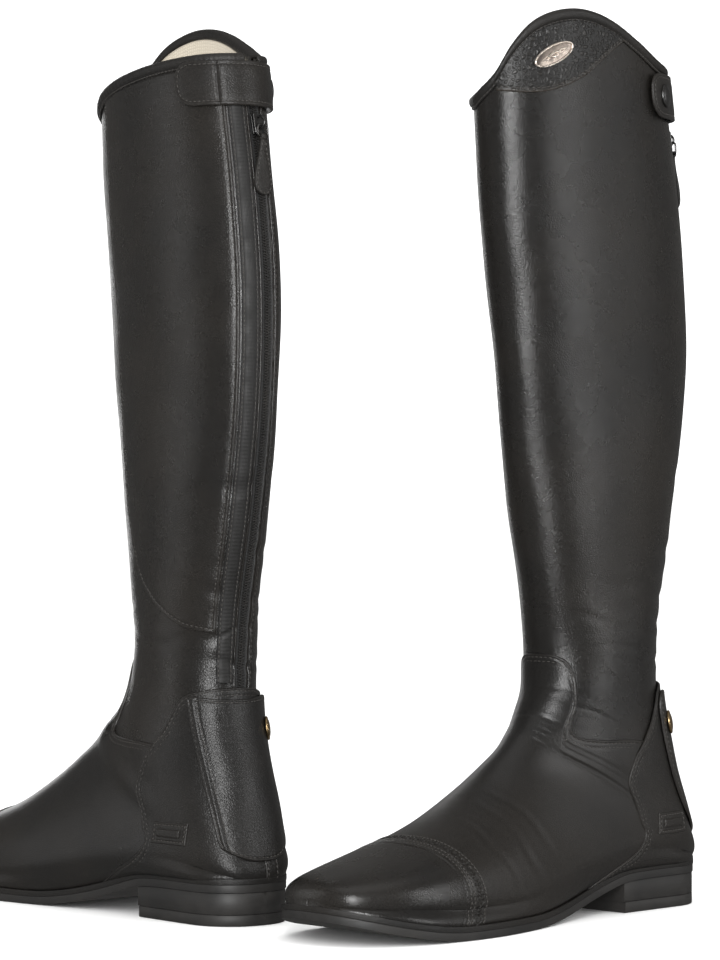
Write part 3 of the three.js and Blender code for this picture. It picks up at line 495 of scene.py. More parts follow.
def pebbled_leather(name):
    """Leather with bold rounded pebbles; the creases between them are darkened with painted shade."""
    n = Nodes(name)
    point = n.coordinates.outputs["Object"]
    drift = n.add("ShaderNodeTexNoise", {"Vector": point, "Scale": 300, "Detail": 2})
    moved = n.add("ShaderNodeVectorMath", {0: drift.outputs["Color"], 3: 0.0011}, operation="SCALE")
    warped = n.add("ShaderNodeVectorMath", {0: point, 1: moved.outputs[0]}, operation="ADD").outputs[0]
    cells = n.add("ShaderNodeTexVoronoi", {"Vector": warped, "Scale": 400}, feature="DISTANCE_TO_EDGE")
    pebble = n.add("ShaderNodeMapRange", {
        "Value": cells.outputs["Distance"], "From Min": 0.0, "From Max": 0.42, "To Min": 0.0, "To Max": 1.0,
    }, interpolation_type="SMOOTHERSTEP").outputs["Result"]
    patch = n.noise(90, 3)
    # Dark in the creases between pebbles, lighter on their tops: painted shade.
    colour = n.blended(pebble, grey(0.003, 0.1), grey(0.011, 0.12))
    colour = n.blended(n.maths("MULTIPLY", n.attribute("wear"), 0.5), colour, grey(0.05, 0.25))
    gloss = n.maths("SUBTRACT", n.ranged(patch, 0.3, 0.7, 0.42, 0.52), n.maths("MULTIPLY", pebble, 0.12))
    normal = n.bump(pebble, 0.0004, 1.0)
    normal = n.bump(n.noise(3200, 2), 0.00004, 0.8, normal)
    return n.finish(base_color=colour, roughness=gloss, normal=normal, coat_weight=0.1, coat_roughness=0.3)


def wave(n, axis, pitch):
    """A sine wave from 0 to 1 along one texture axis, in metres."""
    split = n.add("ShaderNodeSeparateXYZ", {0: n.coordinates.outputs["UV"]})
    turns = n.maths("MULTIPLY", split.outputs[axis], 2 * math.pi / pitch)
    return n.ranged(n.maths("SINE", turns), -1, 1, 0, 1)


def woven_textile(name, light, dark, pitch, depth, roughness=0.9, sheen=0.3):
    """A plain weave whose warp and weft threads pass over each other."""
    n = Nodes(name)
    warp, weft = wave(n, 0, pitch), wave(n, 1, pitch)
    checks = n.maths("MULTIPLY", wave(n, 0, pitch * 2), wave(n, 1, pitch * 2))
    threads = n.maths("ADD", n.maths("MAXIMUM", warp, weft), n.maths("MULTIPLY", checks, 0.6))
    fuzz = n.noise(2600, 3, 0.7)
    stain = n.noise(26, 4)
    weave = n.ranged(n.maths("ADD", threads, n.maths("MULTIPLY", fuzz, 0.5)), 0.3, 1.7, 0, 1)
    colour = n.blended(weave, dark, light)
    colour = n.blended(n.ranged(stain, 0.45, 0.75, 0, 0.35), colour, dark)
    normal = n.bump(threads, depth, 0.8)
    normal = n.bump(fuzz, depth * 0.4, 0.6, normal)
    gloss = n.ranged(stain, 0.3, 0.7, roughness - 0.06, roughness + 0.04)
    return n.finish(base_color=colour, roughness=gloss, normal=normal, sheen_weight=sheen,
                    sheen_roughness=0.5, specular_ior_level=0.25)


def ribbed_elastic(name):
    """Black elastic under thin leather: fine cross ribs with a dull woven face."""
    n = Nodes(name)
    ribs = wave(n, 1, 0.0021)
    threads = wave(n, 0, 0.0007)
    patch = n.noise(120, 3)
    colour = n.blended(ribs, grey(0.00315, 0.1), grey(0.004275, 0.1))
    gloss = n.ranged(patch, 0.3, 0.7, 0.5, 0.68)
    normal = n.bump(ribs, 0.00003, 0.5)
    normal = n.bump(n.maths("MULTIPLY", threads, n.noise(1500, 2)), 0.00006, 0.6, normal)
    return n.finish(base_color=colour, roughness=gloss, normal=normal, sheen_weight=0.03, sheen_roughness=0.4)


def moulded_rubber(name, shade=0.012, roughness=(0.46, 0.6)):
    """Satin black rubber with mould texture, faint scuffs and dusty wear on its edges."""
    n = Nodes(name)
    patch = n.noise(38, 4, 0.62)
    speck = n.noise(1500, 3, 0.6)
    scuff = n.streaks(160, 4, Scale=(0.25, 0.25, 6))
    wear = n.maths("MULTIPLY", n.attribute("wear"), n.ranged(patch, 0.35, 0.62, 0, 1))
    colour = n.blended(n.ranged(patch, 0.35, 0.7, 0, 1), grey(shade * 0.75, 0.04), grey(shade * 1.2, 0.1))
    colour = n.blended(n.maths("MULTIPLY", wear, 0.35), colour, grey(0.035, 0.1))
    gloss = n.maths("ADD", n.ranged(patch, 0.3, 0.7, *roughness), n.ranged(scuff, 0.62, 0.8, 0, 0.16))
    normal = n.bump(speck, 0.00005, 0.7)
    normal = n.bump(scuff, 0.00008, 0.3, normal)
    return n.finish(base_color=colour, roughness=gloss, normal=normal, coat_weight=0.05, coat_roughness=0.4)


def worn_metal(name, bright, dull, roughness, scratch=900):
    """Plated metal with fine scratches, tarnish in patches and an uneven polish."""
    n = Nodes(name)
    patch = n.noise(240, 4, 0.6)
    lines = n.streaks(scratch, 3, Rotation=(0.4, 0.7, 0.3), Scale=(1, 9, 1))
    colour = n.blended(n.ranged(patch, 0.42, 0.66, 0, 1), bright, dull)
    low, high = roughness
    gloss = n.maths("ADD", n.ranged(patch, 0.3, 0.7, low, high), n.ranged(lines, 0.5, 0.8, 0, 0.1))
    normal = n.bump(lines, 0.00002, 0.5)
    return n.finish(base_color=colour, roughness=gloss, normal=normal, metallic=1.0)


def waxed_thread(name):
    """Black waxed thread with a finely uneven surface."""
    n = Nodes(name)
    fibres = n.noise(3800, 2, 0.5)
    colour = n.blended(fibres, grey(0.01, 0.05), grey(0.05, 0.12))
    gloss = n.ranged(n.noise(300, 2), 0.3, 0.7, 0.38, 0.55)
    return n.finish(base_color=colour, roughness=gloss, normal=n.bump(fibres, 0.00008, 0.8))


MATERIALS = {
    "shaft": leather("shaft_leather", seed=0.0),
    "foot": leather("foot_leather", roughness=(0.27, 0.36), cell=900, depth=0.000035, seed=0.31),
    "toe": leather("polished_toe_leather", roughness=(0.22, 0.32), cell=900, depth=0.00003, coat=0.06,
                   seed=0.57),
    "guard": leather("panel_leather", roughness=(0.3, 0.42), cell=720, depth=0.00006, seed=0.83),
    "binding": leather("binding_leather", shade=0.009, roughness=(0.36, 0.48), cell=1300, seed=0.47),
    "bead": leather("piping_leather", shade=0.009, roughness=(0.16, 0.24), cell=1500, depth=0.00002,
                    coat=0.2, seed=0.91),
    "pull": leather("pull_leather", shade=0.01, roughness=(0.36, 0.5), cell=1200, seed=0.15),
    "crown": pebbled_leather("crown_pebbled_leather"),
    "lining": woven_textile("cream_lining", (0.52, 0.47, 0.38, 1), (0.3, 0.26, 0.2, 1), 0.0009, 0.00016),
    "insole": woven_textile("insole_textile", (0.34, 0.3, 0.24, 1), (0.12, 0.1, 0.08, 1), 0.0014, 0.0002),
    "tape": woven_textile("zip_tape_textile", grey(0.014), grey(0.004), 0.0008, 0.0001, 0.75, 0.15),
    "elastic": ribbed_elastic("ribbed_elastic"),
    "rubber": moulded_rubber("outsole_rubber"),
    "heel": moulded_rubber("heel_rubber", 0.013, (0.5, 0.62)),
    "lift": moulded_rubber("top_lift_rubber", 0.013, (0.52, 0.64)),
    "welt": leather("welt_leather", shade=0.008, roughness=(0.36, 0.48), cell=1400, seed=0.66),
    "thread": waxed_thread("waxed_thread"),
    "brass": worn_metal("aged_brass", (0.5, 0.36, 0.19, 1), (0.16, 0.11, 0.06, 1), (0.22, 0.4)),
    "gunmetal": worn_metal("gunmetal", grey(0.13), grey(0.06, 0.05), (0.26, 0.42)),
    "badge": worn_metal("rose_gold_plate", (0.95, 0.86, 0.78, 1), (0.86, 0.74, 0.64, 1), (0.24, 0.32), 1400),
    "badge_field": worn_metal("dark_badge_field", (0.42, 0.36, 0.31, 1), (0.2, 0.17, 0.15, 1),
                              (0.26, 0.36), 1400),
    "coil": moulded_rubber("zip_coil_plastic", 0.012, (0.3, 0.4)),
}

# ---------------------------------------------------------------- building meshes


def add_piece(boot, name, parts, material, nodes=(), part="boot", sharp=None):
    """One object from parts, each a dict of points (mm, boot frame), faces, and wear or uv values."""
    points, faces, wear, uv, start = [], [], [], [], 0
    for item in parts:
        count = len(item["points"])
        points.append(boot.world(item["points"]))
        order = -1 if boot.mirrored else 1
        faces.extend([[start + k for k in face][::order] for face in item["faces"]])
        wear.append(item.get("wear", np.zeros(count)))
        uv.append(item.get("uv", np.zeros((count, 2))))
        start += count
    points, wear, uv = np.concatenate(points), np.concatenate(wear), np.concatenate(uv)
    mesh = bpy.data.meshes.new(f"{boot.side}_{name}")
    mesh.from_pydata(points.tolist(), [], faces)
    mesh.attributes.new("wear", "FLOAT", "POINT").data.foreach_set("value", wear.astype(np.float32))
    loops = np.zeros(len(mesh.loops), np.int32)
    mesh.loops.foreach_get("vertex_index", loops)
    mesh.uv_layers.new(name="surface").data.foreach_set("uv", uv[loops].astype(np.float32).ravel())
    mesh.shade_smooth()
    if sharp is not None:
        mesh.set_sharp_from_angle(angle=math.radians(sharp))
    mesh.materials.append(MATERIALS[material])
    mesh.update()
    piece = bpy.data.objects.new(f"{boot.side}_{name}", mesh)
    bpy.context.collection.objects.link(piece)
    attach(piece, boot.body(part))
    if nodes:
        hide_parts(*[f"{boot.side}_{node}" for node in nodes])
    return piece


def grid_faces(rows, columns, start=0, flip=False, wrap=False):
    faces = []
    across = columns if wrap else columns - 1
    for i in range(rows - 1):
        for j in range(across):
            k = (j + 1) % columns
            a, b = start + i * columns + j, start + (i + 1) * columns + j
            c, d = start + (i + 1) * columns + k, start + i * columns + k
            faces.append([a, b, c, d][:: -1 if flip else 1])
    return faces


def walls(index, count):
    """Faces that join a closed run of outer points to the inner points below them."""
    return [[a, b, b + count, a + count] for a, b in zip(index, index[1:] + index[:1])]


def doubled(outer, inner, faces, wear, uv):
    """A part of two grids of points that share their wear and texture places."""
    return {
        "points": np.concatenate([outer.reshape(-1, 3), inner.reshape(-1, 3)]), "faces": faces,
        "wear": np.concatenate([wear.ravel()] * 2), "uv": np.concatenate([uv.reshape(-1, 2)] * 2),
    }


def slab(outer, inner, wear, uv):
    """A closed skin between two grids of points, with walls round the four sides."""
    rows, columns = outer.shape[:2]
    count = rows * columns
    faces = grid_faces(rows, columns) + grid_faces(rows, columns, count, flip=True)
    border = [(0, j) for j in range(columns)] + [(i, columns - 1) for i in range(1, rows)]
    border += [(rows - 1, j) for j in range(columns - 2, -1, -1)] + [(i, 0) for i in range(rows - 2, 0, -1)]
    faces += walls([i * columns + j for i, j in border], count)
    return doubled(outer, inner, faces, wear, uv)


FINE_STEPS = np.array([0, 0.1, 0.25, 0.45, 0.7, 1.0, 1.4, 1.8, 2.2, 2.6, 3.0, 3.5, 4.2])


def spread(length, step, fine=(True, True)):
    """Shares from 0 to 1 along a length in mm, close together at finished ends."""
    first = FINE_STEPS if fine[0] else np.zeros(1)
    last = length - (FINE_STEPS if fine[1] else np.zeros(1))[::-1]
    count = max(int((last[0] - first[-1]) / step), 1)
    middle = np.linspace(first[-1], last[0], count + 1)[1:-1]
    return np.concatenate([first, middle, last]) / length


# A panel's finished edge, in mm: how far its rounding and its wear reach in, and its grooves.
EDGE_RADIUS = 0.8
WEAR_REACH = 0.9
GROOVE_DEPTH = 0.28
GROOVE_WIDTH = 0.5


def edge_height(distance, layer, grooves=(2.2,)):
    """Outward offset of a panel's face at a distance from its finished edge."""
    thickness = layer[1] - layer[0]
    near = np.clip(1 - distance / EDGE_RADIUS, 0, 1)
    height = layer[0] + thickness * (0.12 + 0.88 * np.sqrt(1 - near ** 2))
    for groove in grooves:
        height = height - GROOVE_DEPTH * np.exp(-((distance - groove) / GROOVE_WIDTH) ** 2)
    return height


def path_travel(points):
    """Distance from the first point of a path to each of its points."""
    return np.concatenate([[0], np.cumsum(np.linalg.norm(np.diff(points, axis=0), axis=1))])


def sample_path(where, travel, values):
    """Values of a path at given distances along it."""
    return np.stack([np.interp(where, travel, values[:, k]) for k in range(values.shape[1])], -1)


def travelled(points, axis):
    """Distances along one axis of a grid of points."""
    steps = np.linalg.norm(np.diff(points, axis=axis), axis=2)
    start = np.zeros_like(np.take(steps, [0], axis=axis))
    return np.concatenate([start, np.cumsum(steps, axis=axis)], axis=axis)


def grid_lean(points):
    """Sine of the angle between the two directions of a grid, so distances are measured squarely."""
    along, down = np.gradient(points, axis=1), np.gradient(points, axis=0)
    area = np.linalg.norm(np.cross(along, down), axis=-1)
    both = np.linalg.norm(along, axis=-1) * np.linalg.norm(down, axis=-1)
    return np.clip(area / np.maximum(both, 1e-9), 0.25, 1)


def panel(boot, place, s_values, t_values, layer, edges="", grooves=(2.2,), extra=None):
    """A leather panel on the surface. place(s, t) gives u and angle; edges names its finished sides
    among l, r, t and b; extra(s distance, t distance, u, angle) adds to the face's height."""
    s, t = np.meshgrid(s_values, t_values)
    u, angle = place(s, t)
    flat = boot.skin(u, angle)
    across, down = travelled(flat, 1), travelled(flat, 0)
    lean = grid_lean(flat)
    sides = {
        "l": across * lean[:, :1], "r": (across[:, -1:] - across) * lean[:, -1:],
        "t": down * lean[:1, :], "b": (down[-1:, :] - down) * lean[-1:, :],
    }
    distance = np.full(u.shape, 1e3)
    for side in edges:
        distance = np.minimum(distance, sides[side])
    height = edge_height(distance, layer, grooves)
    if extra is not None:
        height = height + extra(across, down, u, angle)
    uv = np.stack([across, down], -1) / 1000
    wear = np.exp(-distance / WEAR_REACH)
    return slab(boot.skin(u, angle, height), boot.skin(u, angle, layer[0]), wear, uv)


def edge_line(boot, place, side, inset, start=0.0, end=1.0, count=300):
    """u and angle along a line that runs inside one side of a panel."""
    v = np.linspace(start, end, count)
    sign = 1 if side in "lt" else -1
    edge = 0.0 if side in "lt" else 1.0
    def at(share):
        return place(share, v) if side in "lr" else place(v, share)
    here = boot.skin(*at(np.full(count, edge)))
    there = boot.skin(*at(np.full(count, edge + sign * 0.01)))
    inward, tangent = (there - here) / 0.01, np.gradient(here, axis=0)
    square = np.linalg.norm(np.cross(inward, tangent), axis=1) / np.linalg.norm(tangent, axis=1)
    return at(edge + sign * inset / np.maximum(square, 0.25 * np.linalg.norm(inward, axis=1)))


# Stitches collect here by boot and body, and become one piece for each.
threads = {}
# Along the stitch from end to end, radius and height of its middle line, in mm.
STITCH_RINGS = [
    (-1.0, 0.12, -0.30), (-0.8, 0.24, -0.08), (0.0, 0.32, 0.04), (0.8, 0.24, -0.08), (1.0, 0.12, -0.30),
]
STITCH_SIDES = 6


def stitch_template(length):
    turn = np.arange(STITCH_SIDES) * 2 * math.pi / STITCH_SIDES
    rings = [np.stack([np.full(STITCH_SIDES, x * length / 2), r * np.cos(turn), z + r * np.sin(turn)], 1)
             for x, r, z in STITCH_RINGS]
    faces = grid_faces(len(STITCH_RINGS), STITCH_SIDES, wrap=True)
    last = (len(STITCH_RINGS) - 1) * STITCH_SIDES
    faces += [list(range(STITCH_SIDES)), [last + k for k in range(STITCH_SIDES)][::-1]]
    return np.concatenate(rings), faces


def sew(boot, part, u, angle, offset, pitch=2.9, length=2.1):
    """Adds a row of raised stitches along a line on the surface."""
    path = boot.skin(u, angle, offset)
    travel = path_travel(path)
    count = int(travel[-1] / pitch)
    at = (np.arange(count) + 0.5) * travel[-1] / count
    centre = sample_path(at, travel, path)
    tangent = sample_path(at + 0.6, travel, path) - sample_path(at - 0.6, travel, path)
    tangent /= np.linalg.norm(tangent, axis=1, keepdims=True)
    outward = sample_path(at, travel, boot.normal(u, angle))
    side = np.cross(outward, tangent)
    side /= np.linalg.norm(side, axis=1, keepdims=True)
    outward = np.cross(tangent, side)
    template, faces = stitch_template(length)
    bases = np.stack([tangent, side, outward], 1)
    points = (template @ bases + centre[:, None, :]).reshape(-1, 3)
    size = len(template)
    every = [[k + i * size for k in face] for i in range(count) for face in faces]
    threads.setdefault((boot.side, part), []).append({"points": points, "faces": every})


def sew_edge(boot, place, side, inset, offset, start=0.02, end=0.98, count=300, stitch=()):
    """A row of stitches on the boot at an inset from one side of a panel; stitch is (pitch, length)."""
    sew(boot, "boot", *edge_line(boot, place, side, inset, start, end, count), offset, *stitch)


def loft(rings, caps=True):
    """A skin through closed rings of points, each with the same count."""
    rings = np.asarray(rings)
    rows, columns = rings.shape[:2]
    faces = grid_faces(rows, columns, wrap=True)
    if caps:
        last = (rows - 1) * columns
        faces += [list(range(columns)), [last + k for k in range(columns)][::-1]]
    return {"points": rings.reshape(-1, 3), "faces": faces}


def tube(path, radius, sides=8, closed=False):
    """A round tube along a path of points; radius is one number or one per point."""
    path = np.asarray(path, float)
    radius = np.broadcast_to(radius, len(path))
    ahead = np.roll(path, -1, 0) - np.roll(path, 1, 0)
    if not closed:
        ahead[0], ahead[-1] = path[1] - path[0], path[-1] - path[-2]
    ahead /= np.linalg.norm(ahead, axis=1, keepdims=True)
    seed = np.array([0.31, 0.17, 0.93])
    side = seed - ahead[0] * (seed @ ahead[0])
    rings = []
    turn = np.arange(sides) * 2 * math.pi / sides
    for centre, direction, r in zip(path, ahead, radius):
        side = side - direction * (side @ direction)
        side /= np.linalg.norm(side)
        other = np.cross(direction, side)
        rings.append(centre + r * (np.cos(turn)[:, None] * side + np.sin(turn)[:, None] * other))
    if not closed:
        return loft(rings)
    part = loft(rings, caps=False)
    start = (len(rings) - 1) * sides
    shift = best_turn(rings[-1], rings[0])
    for k in range(sides):
        j = (k + 1) % sides
        part["faces"].append([start + k, (k + shift) % sides, (j + shift) % sides, start + j])
    return part


def best_turn(last, first):
    """How far one ring is turned against another, so that a closed tube joins cleanly."""
    count = len(first)
    gaps = [np.linalg.norm(np.roll(first, -shift, 0) - last) for shift in range(count)]
    return int(np.argmin(gaps))


def lathe(profile, segments=40):
    """A turned part from (radius, height) pairs round the Z axis."""
    turn = np.arange(segments) * 2 * math.pi / segments
    rings = [np.stack([r * np.cos(turn), r * np.sin(turn), np.full(segments, z)], 1) for r, z in profile]
    return loft(rings)


def prism(outline, low, high, bevel, levels=3):
    """A flat part with rounded rims, from a counter-clockwise outline."""
    outline = np.asarray(outline, float)
    along = np.roll(outline, -1, 0) - np.roll(outline, 1, 0)
    along /= np.linalg.norm(along, axis=1, keepdims=True)
    inward = np.stack([-along[:, 1], along[:, 0]], 1)
    turn = np.linspace(0, math.pi / 2, levels + 1)
    foot = [(low + bevel * (1 - math.sin(k)), bevel * (1 - math.cos(k))) for k in turn[::-1]]
    head = [(high - bevel * (1 - math.sin(k)), bevel * (1 - math.cos(k))) for k in turn]
    rings = [np.column_stack([outline + inward * inset, np.full(len(outline), z)])
             for z, inset in foot + head]
    return loft(rings)


def placed(part, frame_here):
    """Moves a part from its own frame to a frame of the boot."""
    origin, axes = frame_here
    return {**part, "points": origin + part["points"] @ axes}


def shifted(frame_here, y, z, lean):
    """A frame moved along its own y and z, and leant about its x."""
    origin, axes = frame_here
    turn = math.radians(lean)
    cos, sin = math.cos(turn), math.sin(turn)
    tilt = np.array([(1, 0, 0), (0, cos, sin), (0, -sin, cos)])
    return origin + np.array([0, y, z]) @ axes, tilt @ axes


# ---------------------------------------------------------------- shaft and top


# Places down the boot, as u: the crown, the calf and the lining's lower end; and how far the shaft
# reaches under the vamp.
CROWN_U = 0.8
CALF_U = 3.0
LINING_END_U = 7.3
VAMP_LAP_U = 0.25


def shaft_place(boot):
    def place(s, t):
        crown = boot.round_shaft(np.full_like(s, CROWN_U), s)
        calf = boot.round_shaft(np.full_like(s, CALF_U), s)
        under_vamp = np.max([vamp_top(calf + near) for near in (-8, -4, 0, 4, 8)], axis=0) + VAMP_LAP_U
        u = lerp(boot.below_top(crown, 1), under_vamp, t)
        return u, boot.round_shaft(u, s)
    return place


def make_shaft(boot):
    place = shaft_place(boot)
    part = panel(boot, place, spread(335, 2.4), spread(340, 2.1, (False, False)), SHAFT_LAYER, "lr", (2.4,))
    add_piece(boot, "shaft", [part], "shaft", ["shaft"])
    sew_edge(boot, place, "r", 2.4, -0.22, 0.06, 0.93, 700)


def make_lining(boot):
    def place(s, t):
        crown = boot.round_shaft(np.full_like(s, CROWN_U), s)
        u = lerp(boot.below_top(crown, 2.5), LINING_END_U, t)
        return u, boot.round_shaft(u, s)
    part = panel(boot, place, spread(320, 4, (False, False)), spread(340, 4, (False, False)), LINING_LAYER)
    add_piece(boot, "lining", [part], "lining", ["lining"])


def make_top_binding(boot):
    """A rolled strip over the top edge, with a stitched flange below it on the outside."""
    inside = LINING_LAYER[0]
    profile = [
        (6.3, 0.1), (6.35, 0.6), (6.1, 0.95), (5.6, 1.0), (5.2, 0.8), (4.8, 0.95), (4.3, 1.7), (3.4, 2.2),
        (2.2, 2.45), (1.0, 2.4), (0.0, 2.0), (-0.7, 1.2), (-1.05, 0.0), (-1.1, -1.2), (-0.9, -2.6),
        (-0.2, -3.9), (0.9, -4.8), (2.4, -5.2), (3.8, -5.1), (4.8, -4.7), (5.2, -4.2), (5.2, inside - 0.1),
        (3.0, inside), (0.6, inside + 0.6), (0.4, -1.8), (0.6, -0.1), (3.0, 0.0),
    ]
    share = np.linspace(0, 1, 420)
    angle = boot.round_shaft(np.full_like(share, CROWN_U), share)
    pucker = 0.07 * np.sin(share * 2 * math.pi * 95) + 0.05 * np.sin(share * 2 * math.pi * 37 + 1)
    rings = []
    for drop, offset in profile:
        roll = 1.0 if -1.1 < drop < 4.9 and offset > 0.9 else 0.3
        rings.append(boot.skin(boot.below_top(angle, drop), angle, offset + pucker * roll))
    part = loft(np.stack(rings, 1))
    part["wear"] = np.tile(np.exp(-(np.array([d for d, _ in profile]) + 1) ** 2), len(share)) * 0.6
    add_piece(boot, "top_binding", [part], "binding", ["top_binding"])
    sew(boot, "boot", boot.below_top(angle, 5.25), angle, 0.95, 2.6, 1.9)


CROWN_FRONT = 12
CROWN_BACK = 100


def crown_place(boot):
    lower = np.array([(12, 451), (22, 450.5), (36, 450), (52, 452), (70, 460), (84, 472), (100, 486)])
    def place(s, t):
        angle = lerp(CROWN_FRONT, CROWN_BACK, s)
        top = boot.below_top(angle, BINDING_DEPTH + 0.6)
        bottom = boot.place_at_height(smooth_table(lower, angle), angle)
        return lerp(top, np.maximum(bottom, top + 0.004), t), angle
    return place


def make_crown_patch(boot):
    place = crown_place(boot)
    part = panel(boot, place, spread(66, 0.9, (False, False)), spread(40, 0.9, (False, True)), CROWN_LAYER,
                 "b", (2.3,))
    add_piece(boot, "crown_patch", [part], "crown", ["crown_patch"])
    sew_edge(boot, place, "b", 2.3, 1.3, 0.03, 0.93)


BADGE = {"angle": 52, "z": 471, "half_length": 13, "half_height": 5.2, "tilt": 25}


def make_badge(boot):
    """A plain oval badge: a polished rim round a dark field with two generic raised waves."""
    angle, tilt = BADGE["angle"], math.radians(BADGE["tilt"])
    cos, sin = math.cos(tilt), math.sin(tilt)
    here = boot.frame_at(boot.place_at_height(BADGE["z"], angle), angle, 1.4)
    def tilted(x, y, z):
        return np.stack([x * cos - y * sin, x * sin + y * cos, z], 1)
    turn = np.linspace(0, 2 * math.pi, 96, endpoint=False)
    def oval(inset, z):
        x, y = (BADGE["half_length"] - inset) * np.cos(turn), (BADGE["half_height"] - inset) * np.sin(turn)
        return tilted(x, y, np.full(len(turn), z))
    rim = [oval(inset, z) for inset, z in (
        (0.0, 0.0), (0.0, 0.8), (0.12, 1.1), (0.4, 1.3), (0.75, 1.3), (1.0, 1.1), (1.1, 0.7), (1.1, 0.3))]
    field = [oval(inset, z) for inset, z in ((0.9, 0.2), (0.9, 0.6), (1.8, 0.78), (3.2, 0.92), (5.1, 0.98))]
    reach = 8.6
    x = np.linspace(-reach, reach, 90)
    phase = x / reach * math.pi * 1.5
    thickness = 0.7 * np.sqrt(np.clip(1.02 - (x / reach) ** 2, 0.02, 1))
    waves = []
    for k in (-1, 1):
        y = k * 1.2 * np.cos(phase) * np.cos(x / 17.5 * math.pi)
        waves.append(tube(tilted(x, y, 1.15 + 0.12 * k * np.sin(phase)), thickness, 8))
    add_piece(boot, "badge", [placed(part, here) for part in [loft(rim), *waves]], "badge",
              ["badge"], sharp=60)
    add_piece(boot, "badge_field", [placed(loft(field), here)], "badge_field", sharp=60)


def guard_place(boot):
    lower = np.array([(62, 224), (70, 203), (79, 187), (90, 177), (101, 170), (127, 160), (165, 156)])
    front = -62
    rear_y = -11.2
    def angle_at(u, s):
        return lerp(front, boot.back_angle(u, rear_y) - 360, s)
    def place(s, t):
        across = angle_at(np.full_like(s, CALF_U), s)
        top = boot.below_top(across, BINDING_DEPTH + 0.6)
        bottom = boot.place_at_height(smooth_table(lower, -across), across)
        u = lerp(top, bottom, t)
        return u, angle_at(u, s)
    return place


def make_calf_guard(boot):
    place = guard_place(boot)
    part = panel(boot, place, spread(105, 2.2), spread(300, 2.2, (False, True)), THIN_LAYER, "lrb", (2.2,))
    add_piece(boot, "calf_guard", [part], "shaft", ["calf_guard"])
    for side, start, end, count in (("l", 0.01, 0.99, 700), ("b", 0.02, 0.98, 400), ("r", 0.02, 0.99, 700)):
        sew_edge(boot, place, side, 2.2, 0.78, start, end, count)


# ---------------------------------------------------------------- zip


def strip_place(boot, from_y, to_y, bottom, drop=12):
    top = float(boot.below_top(180, drop))
    def place(s, t):
        u = lerp(top, bottom, t)
        return u, boot.back_angle(u, lerp(from_y, to_y, s))
    return place


def make_elastic_panel(boot):
    place = strip_place(boot, -1.6, -10.4, 6.75, 8)
    def ribs(across, down, u, angle):
        middle = np.exp(-((across - 4.4) / 2.6) ** 4)
        return 0.03 * middle * np.sin(down * 2 * math.pi / 2.1 + 0.6 * np.sin(down / 17)) + 0.25 * middle
    part = panel(boot, place, spread(8.8, 0.6, (True, True)), spread(320, 0.5, (False, False)), THIN_LAYER,
                 "lr", (1.5,), ribs)
    add_piece(boot, "elastic_panel", [part], "elastic", ["elastic_panel"])
    for inset in (1.1, 7.7):
        sew_edge(boot, place, "l", inset, 0.85, 0.0, 1.0, 700, (2.6, 1.9))


def make_zip(boot):
    edge = ZIP_HALF_WIDTH - 0.2
    for name, sides in (("zip_tape_outer", (ZIP_Y + 0.15, ZIP_Y + edge)),
                        ("zip_tape_inner", (ZIP_Y - edge, ZIP_Y - 0.15))):
        place = strip_place(boot, *sides, ZIP_BOTTOM)
        part = panel(boot, place, np.linspace(0, 1, 7), spread(330, 2, (False, False)), (-1.9, -1.2))
        add_piece(boot, name, [part], "tape", [name])
    top = float(boot.below_top(180, 12))
    u = np.linspace(top, ZIP_BOTTOM, 900)
    for name, y in (("outer", ZIP_Y + ZIP_HALF_WIDTH + 0.3), ("inner", ZIP_Y - ZIP_HALF_WIDTH - 0.3)):
        path = boot.skin(u, boot.back_angle(u, y), -0.05)
        add_piece(boot, f"zip_facing_{name}", [tube(path, 0.7, 10)], "bead")
    teeth = []
    for sign in (-1, 1):
        line = boot.skin(u, boot.back_angle(u, ZIP_Y + sign * 0.9), -0.85)
        travel = path_travel(line)
        at = np.arange(0.6 + 0.375 * (sign + 1), travel[-1], 1.5)
        centre = sample_path(at, travel, line)
        down = sample_path(at + 0.5, travel, line) - centre
        down /= np.linalg.norm(down, axis=1, keepdims=True)
        here = np.interp(at, travel, u)
        outward = boot.normal(here, boot.back_angle(here, ZIP_Y))
        side = np.cross(outward, down)
        coil = prism([(1.35, -0.42), (1.35, 0.42), (-1.35, 0.42), (-1.35, -0.42)], -0.55, 0.55, 0.3, 2)
        for k in range(len(at)):
            axes = np.array([side[k], down[k], outward[k]])
            teeth.append({"points": centre[k] + coil["points"] @ axes, "faces": coil["faces"]})
    add_piece(boot, "zip_coils", teeth, "coil", sharp=50)


SLIDER_FACE = 2.9
PULL_AXIS = 5.1
PULL_LEAN = 8
RING_HEIGHT = 6.4
RING_HALF_WIDTH = 3.7
RING_WIRE = 0.6


def slider_frame(boot):
    angle = boot.back_angle(np.array(1.3), ZIP_Y)
    return boot.frame_at(boot.place_at_height(SLIDER_Z, angle), angle, 0.0)


def rounded_outline(corners, radius, steps=5):
    """A closed outline with rounded corners; radius is one number or one per corner."""
    corners = np.asarray(corners, float)
    points = []
    for i, (corner, reach) in enumerate(zip(corners, np.broadcast_to(radius, len(corners)))):
        before = corners[i - 1] - corner
        after = corners[(i + 1) % len(corners)] - corner
        start = corner + before / np.linalg.norm(before) * reach
        end = corner + after / np.linalg.norm(after) * reach
        for t in np.linspace(0, 1, steps):
            points.append((1 - t) ** 2 * start + 2 * t * (1 - t) * corner + t ** 2 * end)
    return np.array(points)


